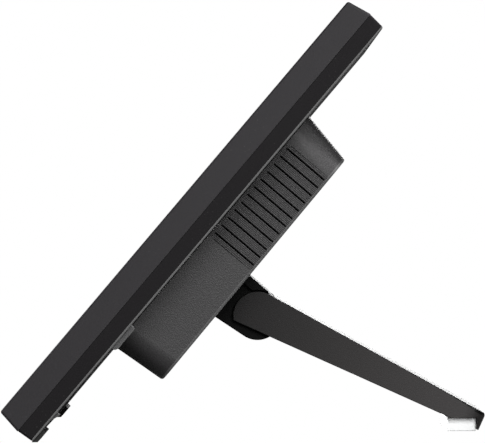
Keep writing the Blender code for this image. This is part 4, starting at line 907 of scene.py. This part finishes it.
class BuildLeg(bpy.types.Operator):
    """The folding leg: a hollow shell with a round head, soft edges and a notch under its tip"""
    bl_idname = "photo_frame.build_leg"
    bl_label = "Leg"

    def outer(self, sizes):
        corner = math.degrees(math.asin(LEG_UNDER / LEG_HEAD))
        slope = math.degrees(math.atan((leg_top(0.0) - leg_top(LEG_REACH)) / LEG_REACH))
        form = extruded(arc((0.0, 0.0), LEG_HEAD, 90 - slope, 180 + corner, 40)
                        + [(LEG_REACH, -LEG_UNDER), (LEG_REACH, leg_top(LEG_REACH))], (-LEG_HALF, LEG_HALF))
        tips = [e for e in form.edges if all(abs(v.co.y - LEG_REACH) < GAP for v in e.verts)
                and abs(e.verts[0].co.x - e.verts[1].co.x) < GAP]
        bmesh.ops.bevel(form, geom=tips, offset=sizes.leg_tip_corner, offset_type='OFFSET',
                        affect='EDGES', segments=12, profile=0.5, material=-1)
        tip_start = LEG_REACH - sizes.leg_tip_corner - GAP
        tip_rim = sharp_edges(form, where=lambda e: all(v.co.y > tip_start and v.co.z > 0.0 for v in e.verts))
        round_over(form, tip_rim, sizes.leg_tip_round, 4)
        round_over(form, sharp_edges(form), sizes.leg_round, 4)
        return form

    def execute(self, context):
        far = 2 * LEG_HEAD
        inner = LEG_HALF - 0.0030
        hollow_end = LEG_REACH - 0.032
        hollow = extruded([(-far, -far), (hollow_end, -far), (hollow_end, leg_top(hollow_end, LEG_SKIN)),
                           (0.0, leg_top(0.0, LEG_SKIN)), (-far, leg_top(0.0, LEG_SKIN))], (-inner, inner))
        barrel = rod(BARREL + RUN_GAP, (0.0, 0.0, 0.0), 2 * inner, 'X', sides=48)
        notch = extruded([desk_to_leg(across, up) for across, up in (
            (-LIP_THICK, -far), (-LIP_THICK, NOTCH_HEIGHT), (-LIP_THICK - PAD_LENGTH, NOTCH_HEIGHT),
            (-LIP_THICK - PAD_LENGTH, -far))], (-2 * LEG_HALF, 2 * LEG_HALF))
        posts, pilots = empty_form(), empty_form()
        foot = local_box("leg_cover", LEG)[1].z + GAP
        for _, _, at in screw_places("cover_screw", LEG, 2):
            top = leg_top(at.y, LEG_SKIN / 2)
            rod(0.0034, (at.x, at.y, (foot + top) / 2), top - foot, 'Z', bm=posts)
            rod(PILOT, (at.x, at.y, -LEG_UNDER / 2), LEG_UNDER, 'Z', bm=pilots)
        form = carved(self.outer(context.scene.photo_frame_sizes), ('DIFFERENCE', hollow),
                      ('DIFFERENCE', barrel), ('DIFFERENCE', notch), ('UNION', posts), ('DIFFERENCE', pilots))
        add_piece("leg", form, LEG, "leg", "leg", "leg_shell")
        return {'FINISHED'}


class BuildLegCover(bpy.types.Operator):
    """The plate under the leg, with long stiffening grooves, and the soft pad under the tip"""
    bl_idname = "photo_frame.build_leg_cover"
    bl_label = "Leg cover and pad"

    def execute(self, context):
        low, high = local_box("leg_cover", LEG)
        grooves, holes, seats = empty_form(), empty_form(), empty_form()
        half, pitch, border = 0.0011, 0.0125, 0.008
        for number in (-3, -2, -1, 1, 2, 3):
            x = number * pitch
            block((x - half, x + half), (low.y + border, high.y - border), (low.z - 0.001, low.z + 0.0006),
                  radius=0.0003, bm=grooves)
        deep = 0.01
        for screw_low, _, at in screw_places("cover_screw", LEG, 2):
            rod(PILOT, (at.x, at.y, low.z), deep, 'Z', bm=holes)
            rod(SEAT, (at.x, at.y, screw_low.z + SCREW_HEAD + GAP - deep / 2), deep, 'Z', bm=seats)
        plate = carved(block(*zip(low, high), radius=0.0004), ('DIFFERENCE', grooves), ('DIFFERENCE', holes),
                       ('DIFFERENCE', seats))
        add_piece("leg_plate", plate, LEG, "bracket", "leg", "leg_cover")
        back, front, top = -LIP_THICK - GAP, -LIP_THICK - PAD_LENGTH + GAP, NOTCH_HEIGHT - GAP
        half = local_box("leg_pad", LEG)[1].x
        pad = extruded([desk_to_leg(*at) for at in ((back, 0.0), (back, top), (front, top), (front, 0.0))],
                       (-half, half), radius=0.0006)
        add_piece("tip_pad", pad, LEG, "silicone", "leg", "leg_pad")
        return {'FINISHED'}


class BuildFeet(bpy.types.Operator):
    """The two rubber strips behind the slab's lower corners, ribbed where they grip the desk"""
    bl_idname = "photo_frame.build_feet"
    bl_label = "Feet"

    def desk_height(self, depth):
        """Height up the slab at which the desk meets a depth."""
        rise, back = SLAB.col[2], SLAB.col[1]
        return -(SLAB.translation.z + depth * back.z) / rise.z

    def execute(self, context):
        count, half = 9, 0.0003
        near = SLAB_DEPTH - GAP
        for _, name in SIDES:
            low, high = local_box(f"foot_{name}", SLAB)
            form = extruded([(near, self.desk_height(near)), (high.y, self.desk_height(high.y)),
                             (high.y, high.z), (near, high.z)], (low.x, high.x), radius=0.00035)
            grooves = empty_form()
            for number in range(1, count):
                x = low.x + (high.x - low.x) * number / count
                block((x - half, x + half), (high.y - half, high.y + 0.001), (low.z + 0.002, high.z - 0.001),
                      bm=grooves)
            form = carved(form, ('DIFFERENCE', grooves))
            add_piece(f"foot_strip_{name}", form, SLAB, "rubber", "slab", f"foot_{name}")
        return {'FINISHED'}


class BuildKeys(bpy.types.Operator):
    """The ribbed menu rocker and the ramped power key"""
    bl_idname = "photo_frame.build_keys"
    bl_label = "Keys"

    def execute(self, context):
        low, high = local_box("menu_rocker", SLAB)
        soft = 0.0015
        form = extruded([(low.y, low.z), (high.y - 0.0021, low.z), (high.y - 0.0009, low.z + 0.0006),
                         (high.y - 0.0002, low.z + 0.0018), (high.y, low.z + 0.0032), (high.y, high.z - soft),
                         (high.y - 0.0004, high.z - 0.0005), (high.y - soft, high.z), (low.y, high.z)],
                        (low.x, high.x), radius=0.0005)
        ribs = empty_form()
        count, pitch, half = 6, 0.0011, 0.0002
        for number in range(count):
            z = (low.z + high.z) / 2 + (number - (count - 1) / 2) * pitch
            block((low.x - 0.001, high.x + 0.001), (high.y - 0.0004, high.y + 0.001), (z - half, z + half),
                  bm=ribs)
        add_piece("rocker_key", carved(form, ('DIFFERENCE', ribs)), SLAB, "key", "rocker", "menu_rocker")
        low, high = local_box("power_button", SLAB)
        form = extruded([(low.y, low.z), (SLAB_DEPTH, low.z), (high.y, high.z - 0.0012), (high.y, high.z),
                         (low.y, high.z)], (low.x, high.x), radius=0.0004)
        add_piece("power_key", form, SLAB, "key", "power_key", "power_button")
        return {'FINISHED'}


class BuildScrews(bpy.types.Operator):
    """Pan-head screws with cross recesses, in the places of the plain solid ones"""
    bl_idname = "photo_frame.build_screws"
    bl_label = "Screws"

    def screw(self, radius, name, axes, outward, body):
        """A screw whose head faces along one of the axes, up or down it."""
        low, high = local_box(name, axes)
        along = 1 if outward[1] else 2
        head, shank, overlap = SCREW_HEAD, 0.0014, 0.0002
        stem_length = high[along] - low[along] - head
        form = rod(radius, (0.0, 0.0, head / 2), head, 'Z', sides=28, top=0.93 * radius)
        rim = sharp_edges(form, where=lambda e: min(v.co.z for v in e.verts) > 0.5 * head)
        round_over(form, rim, 0.0006, 4)
        stem = rod(shank, (0.0, 0.0, (overlap - stem_length) / 2), stem_length + overlap, 'Z', sides=16)
        arms = []
        for turn in (0.4, 0.4 + math.radians(90)):
            arm = block((-0.0017, 0.0017), (-0.0003, 0.0003), (0.45 * head, 2 * head))
            arm.transform(Matrix.Rotation(turn, 4, 'Z'))
            arms.append(('DIFFERENCE', arm))
        form = carved(form, ('UNION', stem), *arms)
        facing = Vector(outward)
        place = (low + high) / 2
        place[along] = (high if facing[along] > 0 else low)[along] - facing[along] * head
        turn = Vector((0.0, 0.0, 1.0)).rotation_difference(facing).to_matrix().to_4x4()
        form.transform(Matrix.Translation(place) @ turn)
        add_piece(f"{name}_detail", form, axes, "zinc", body, name)

    def execute(self, context):
        radius = context.scene.photo_frame_sizes.screw_head
        for number in range(1, 5):
            for kind, facing in (("shell", 1), ("housing", 1), ("hinge", -1)):
                self.screw(radius, f"{kind}_screw_{number}", SLAB, (0, facing, 0), "slab")
        for number in (1, 2):
            self.screw(radius, f"cover_screw_{number}", LEG, (0, 0, -1), "leg")
        return {'FINISHED'}


class BuildSockets(bpy.types.Operator):
    """USB socket with its tongue, card slot with its contacts, and the power inlet with its pin"""
    bl_idname = "photo_frame.build_sockets"
    bl_label = "Sockets"

    def execute(self, context):
        self.usb()
        self.card()
        self.inlet()
        return {'FINISHED'}

    def contacts(self, name, count, pitch, middle, x_range, y_range):
        """A row of flat brass contacts up the slab."""
        half = 0.0005
        row = empty_form()
        for number in range(count):
            z = middle + (number - (count - 1) / 2) * pitch
            block(x_range, y_range, (z - half, z + half), radius=0.0001, bm=row)
        add_piece(name, row, SLAB, "brass", "slab")

    def usb(self):
        low, high = local_box("usb_socket", SLAB)
        sheet = 0.0006
        mouth = block((low.x - 0.01, low.x + 0.0135), (low.y + sheet, high.y - sheet),
                      (low.z + sheet, high.z - sheet), radius=0.0003)
        springs = empty_form()
        for share in (0.28, 0.72):
            z = low.z + share * (high.z - low.z)
            block((low.x + 0.002, low.x + 0.0085), (high.y - 0.0002, high.y + 0.001),
                  (z - 0.0010, z + 0.0010), radius=0.0001, bm=springs)
        shell = carved(block(*zip(low, high), radius=0.0007, segments=3), ('DIFFERENCE', mouth),
                       ('DIFFERENCE', springs))
        add_piece("usb_shell", shell, SLAB, "zinc", "slab", "usb_socket")
        back, front = low.y + 0.0018, low.y + 0.0036
        tongue = block((low.x + 0.0012, low.x + 0.0132), (back, front), (low.z + 0.0014, high.z - 0.0014),
                       radius=0.0002)
        add_piece("usb_tongue", tongue, SLAB, "white_plastic", "slab")
        self.contacts("usb_contacts", 4, 0.0023, (low.z + high.z) / 2, (low.x + 0.0020, low.x + 0.0120),
                      (front - 0.0001, front + 0.0003))

    def card(self):
        low, high = local_box("card_slot", SLAB)
        mouth = block((low.x - 0.01, low.x + 0.0238), (low.y + 0.0007, high.y - 0.0006),
                      (low.z + 0.0017, high.z - 0.0017), radius=0.0003)
        window = block((low.x + 0.004, low.x + 0.012), (high.y - 0.0002, high.y + 0.001),
                       (low.z + 0.005, high.z - 0.005), radius=0.0001)
        reader = carved(block(*zip(low, high), radius=0.0004), ('DIFFERENCE', mouth), ('DIFFERENCE', window))
        add_piece("card_reader", reader, SLAB, "zinc", "slab", "card_slot")
        self.contacts("card_contacts", 9, 0.0024, (low.z + high.z) / 2, (low.x + 0.012, low.x + 0.0225),
                      (low.y + 0.0008, low.y + 0.0012))

    def inlet(self):
        low, high = local_box("dc_inlet", SLAB)
        centre = (low + high) / 2
        bore = rod(0.0031, (centre.x, centre.y, low.z + 0.0035), 0.0110, 'Z', sides=36)
        funnel = rod(0.0038, (centre.x, centre.y, low.z + 0.0002), 0.0016, 'Z', sides=36, top=0.0030)
        body = carved(block(*zip(low, high), radius=0.0005), ('DIFFERENCE', bore), ('DIFFERENCE', funnel))
        add_piece("power_inlet", body, SLAB, "shell", "slab", "dc_inlet")
        pin = rod(0.0009, (centre.x, centre.y, low.z + 0.0056), 0.0080, 'Z', sides=20, edge=0.0003)
        add_piece("inlet_pin", pin, SLAB, "brass", "slab")


class FinishSolidParts(bpy.types.Operator):
    """Full finishes for the solid parts whose shapes are already right"""
    bl_idname = "photo_frame.finish_solid_parts"
    bl_label = "Panel, boards and hinge steel"

    def execute(self, context):
        for slot, names in (
                ("glass", "window_glass"), ("mat", "picture_mat"), ("screen", "lcd_cell"),
                ("white_plastic", "backlight_unit"), ("aluminium", "heat_sink"),
                ("steel", "panel_chassis stand_support hinge_shaft leg_arm_left leg_arm_right"),
                ("board", "main_board driver_board media_board key_board"),
                ("shell", "speaker_left speaker_right"), ("brass", "friction_disc_left friction_disc_right"),
                ("zinc", "hinge_nut_left hinge_nut_right")):
            for name in names.split():
                materials = frame["nodes"][name].data.materials
                materials.clear()
                materials.append(FINISHES[slot])
        return {'FINISHED'}


class BuildStage(bpy.types.Operator):
    """Pale floor, soft studio light and the side-on camera"""
    bl_idname = "photo_frame.build_stage"
    bl_label = "Stage"

    def light(self, name, place, target, size, power):
        data = bpy.data.lights.new(name, 'AREA')
        data.shape = 'RECTANGLE'
        data.size, data.size_y = size
        data.energy = power
        lamp = bpy.data.objects.new(name, data)
        bpy.context.scene.collection.objects.link(lamp)
        lamp.location = place
        lamp.visible_camera = False
        lamp.rotation_euler = (Vector(place) - Vector(target)).to_track_quat('Z', 'Y').to_euler()

    def floor(self):
        bm = bmesh.new()
        bmesh.ops.create_grid(bm, x_segments=1, y_segments=1, size=6.0,
                              matrix=Matrix.Translation((0, 0, -0.0004)))
        mesh = bpy.data.meshes.new("studio_floor")
        bm.to_mesh(mesh)
        bm.free()
        plane = bpy.data.objects.new("studio_floor", mesh)
        bpy.context.scene.collection.objects.link(plane)
        made = bpy.data.materials.new("studio_floor")
        made.use_nodes = True
        tree = made.node_tree
        tree.nodes.clear()
        sweep = node(tree, "BsdfDiffuse", {"Color": (0.35, 0.35, 0.35, 1.0)})
        glow = node(tree, "Emission", {"Color": (1.0, 1.0, 1.0, 1.0), "Strength": 1.0})
        seen = node(tree, "LightPath").outputs["Is Camera Ray"]
        mix = node(tree, "MixShader", {0: seen, 1: sweep.outputs[0], 2: glow.outputs[0]})
        node(tree, "OutputMaterial", {"Surface": mix.outputs[0]})
        mesh.materials.append(made)

    def backdrop(self, scene):
        scene.world = bpy.data.worlds.new("studio")
        scene.world.use_nodes = True
        tree = scene.world.node_tree
        tree.nodes.clear()
        rays = node(tree, "LightPath").outputs
        soft = calculated(tree, 'MULTIPLY_ADD', rays["Is Diffuse Ray"], 0.10, 0.02)
        strength = node(tree, "Mix", {"Factor": rays["Is Camera Ray"], 2: soft, 3: 1.0})
        sky = node(tree, "Background", {"Color": (1.0, 1.0, 1.0, 1.0), "Strength": strength.outputs[0]})
        node(tree, "OutputWorld", {"Surface": sky.outputs[0]})

    def camera(self, scene):
        """Looks straight at the side that carries the keys."""
        near_plane, distance, view_width = CAD_BOX[1].x, 2.5, 0.26585
        data = bpy.data.cameras.new("studio_camera")
        data.sensor_width = 36.0
        data.lens = data.sensor_width * distance / view_width
        data.clip_end = 50.0
        eye = bpy.data.objects.new("studio_camera", data)
        scene.collection.objects.link(eye)
        eye.location = (near_plane + distance, CAD_BOX[0].y + 0.1331, 0.1213)
        eye.rotation_euler = (math.radians(90), 0.0, math.radians(90))
        scene.camera = eye

    def execute(self, context):
        scene = context.scene
        scene.view_settings.view_transform = 'Standard'
        self.floor()
        self.backdrop(scene)
        self.camera(scene)
        self.light("key_box", (5.00, 0.75, 1.45), (0.15, 0.0, 0.12), (1.9, 1.9), 240.0)
        self.light("pad_fill", (0.0, 0.055, 0.012), (0.0, 0.12, 0.004), (0.08, 0.01), 0.10)
        self.light("rear_strip", (0.95, 0.95, 0.30), (0.15, 0.05, 0.10), (0.3, 0.6), 0.8)
        self.light("top_box", (0.7, 1.1, 1.7), (0.1, 0.05, 0.15), (0.9, 0.9), 32.0)
        self.light("front_box", (-0.6, -2.0, 0.9), (0.0, 0.0, 0.1), (1.0, 1.0), 22.0)
        self.light("left_box", (-3.4, 0.6, 1.1), (-0.15, 0.0, 0.12), (1.3, 1.3), 60.0)
        return {'FINISHED'}


PIECES = (BuildBezel, BuildShell, BuildHousing, BuildBracket, BuildLeg, BuildLegCover, BuildFeet, BuildKeys,
          BuildScrews, BuildSockets, FinishSolidParts, BuildStage)


class PhotoFramePanel(bpy.types.Panel):
    """Every piece of the photo frame, and the sizes and colours they use"""
    bl_idname = "VIEW3D_PT_photo_frame"
    bl_label = "Photo Frame"
    bl_space_type = 'VIEW_3D'
    bl_region_type = 'UI'
    bl_category = "Photo Frame"

    def draw(self, context):
        layout = self.layout
        for group in (context.scene.photo_frame_sizes, context.scene.photo_frame_colours):
            column = layout.column(align=True)
            for name in group.__annotations__:
                column.prop(group, name)
        for piece in PIECES:
            layout.operator(piece.bl_idname)


KINDS = (PhotoFrameSizes, PhotoFrameColours, *PIECES, PhotoFramePanel)


def register():
    for kind in KINDS:
        bpy.utils.register_class(kind)
    bpy.types.Scene.photo_frame_sizes = PointerProperty(type=PhotoFrameSizes)
    bpy.types.Scene.photo_frame_colours = PointerProperty(type=PhotoFrameColours)


def unregister():
    del bpy.types.Scene.photo_frame_sizes
    del bpy.types.Scene.photo_frame_colours
    for kind in reversed(KINDS):
        bpy.utils.unregister_class(kind)


def main():
    register()
    make_finishes()
    for piece in PIECES:
        group, name = piece.bl_idname.split(".")
        getattr(getattr(bpy.ops, group), name)()


if __name__ == "__main__":
    main()
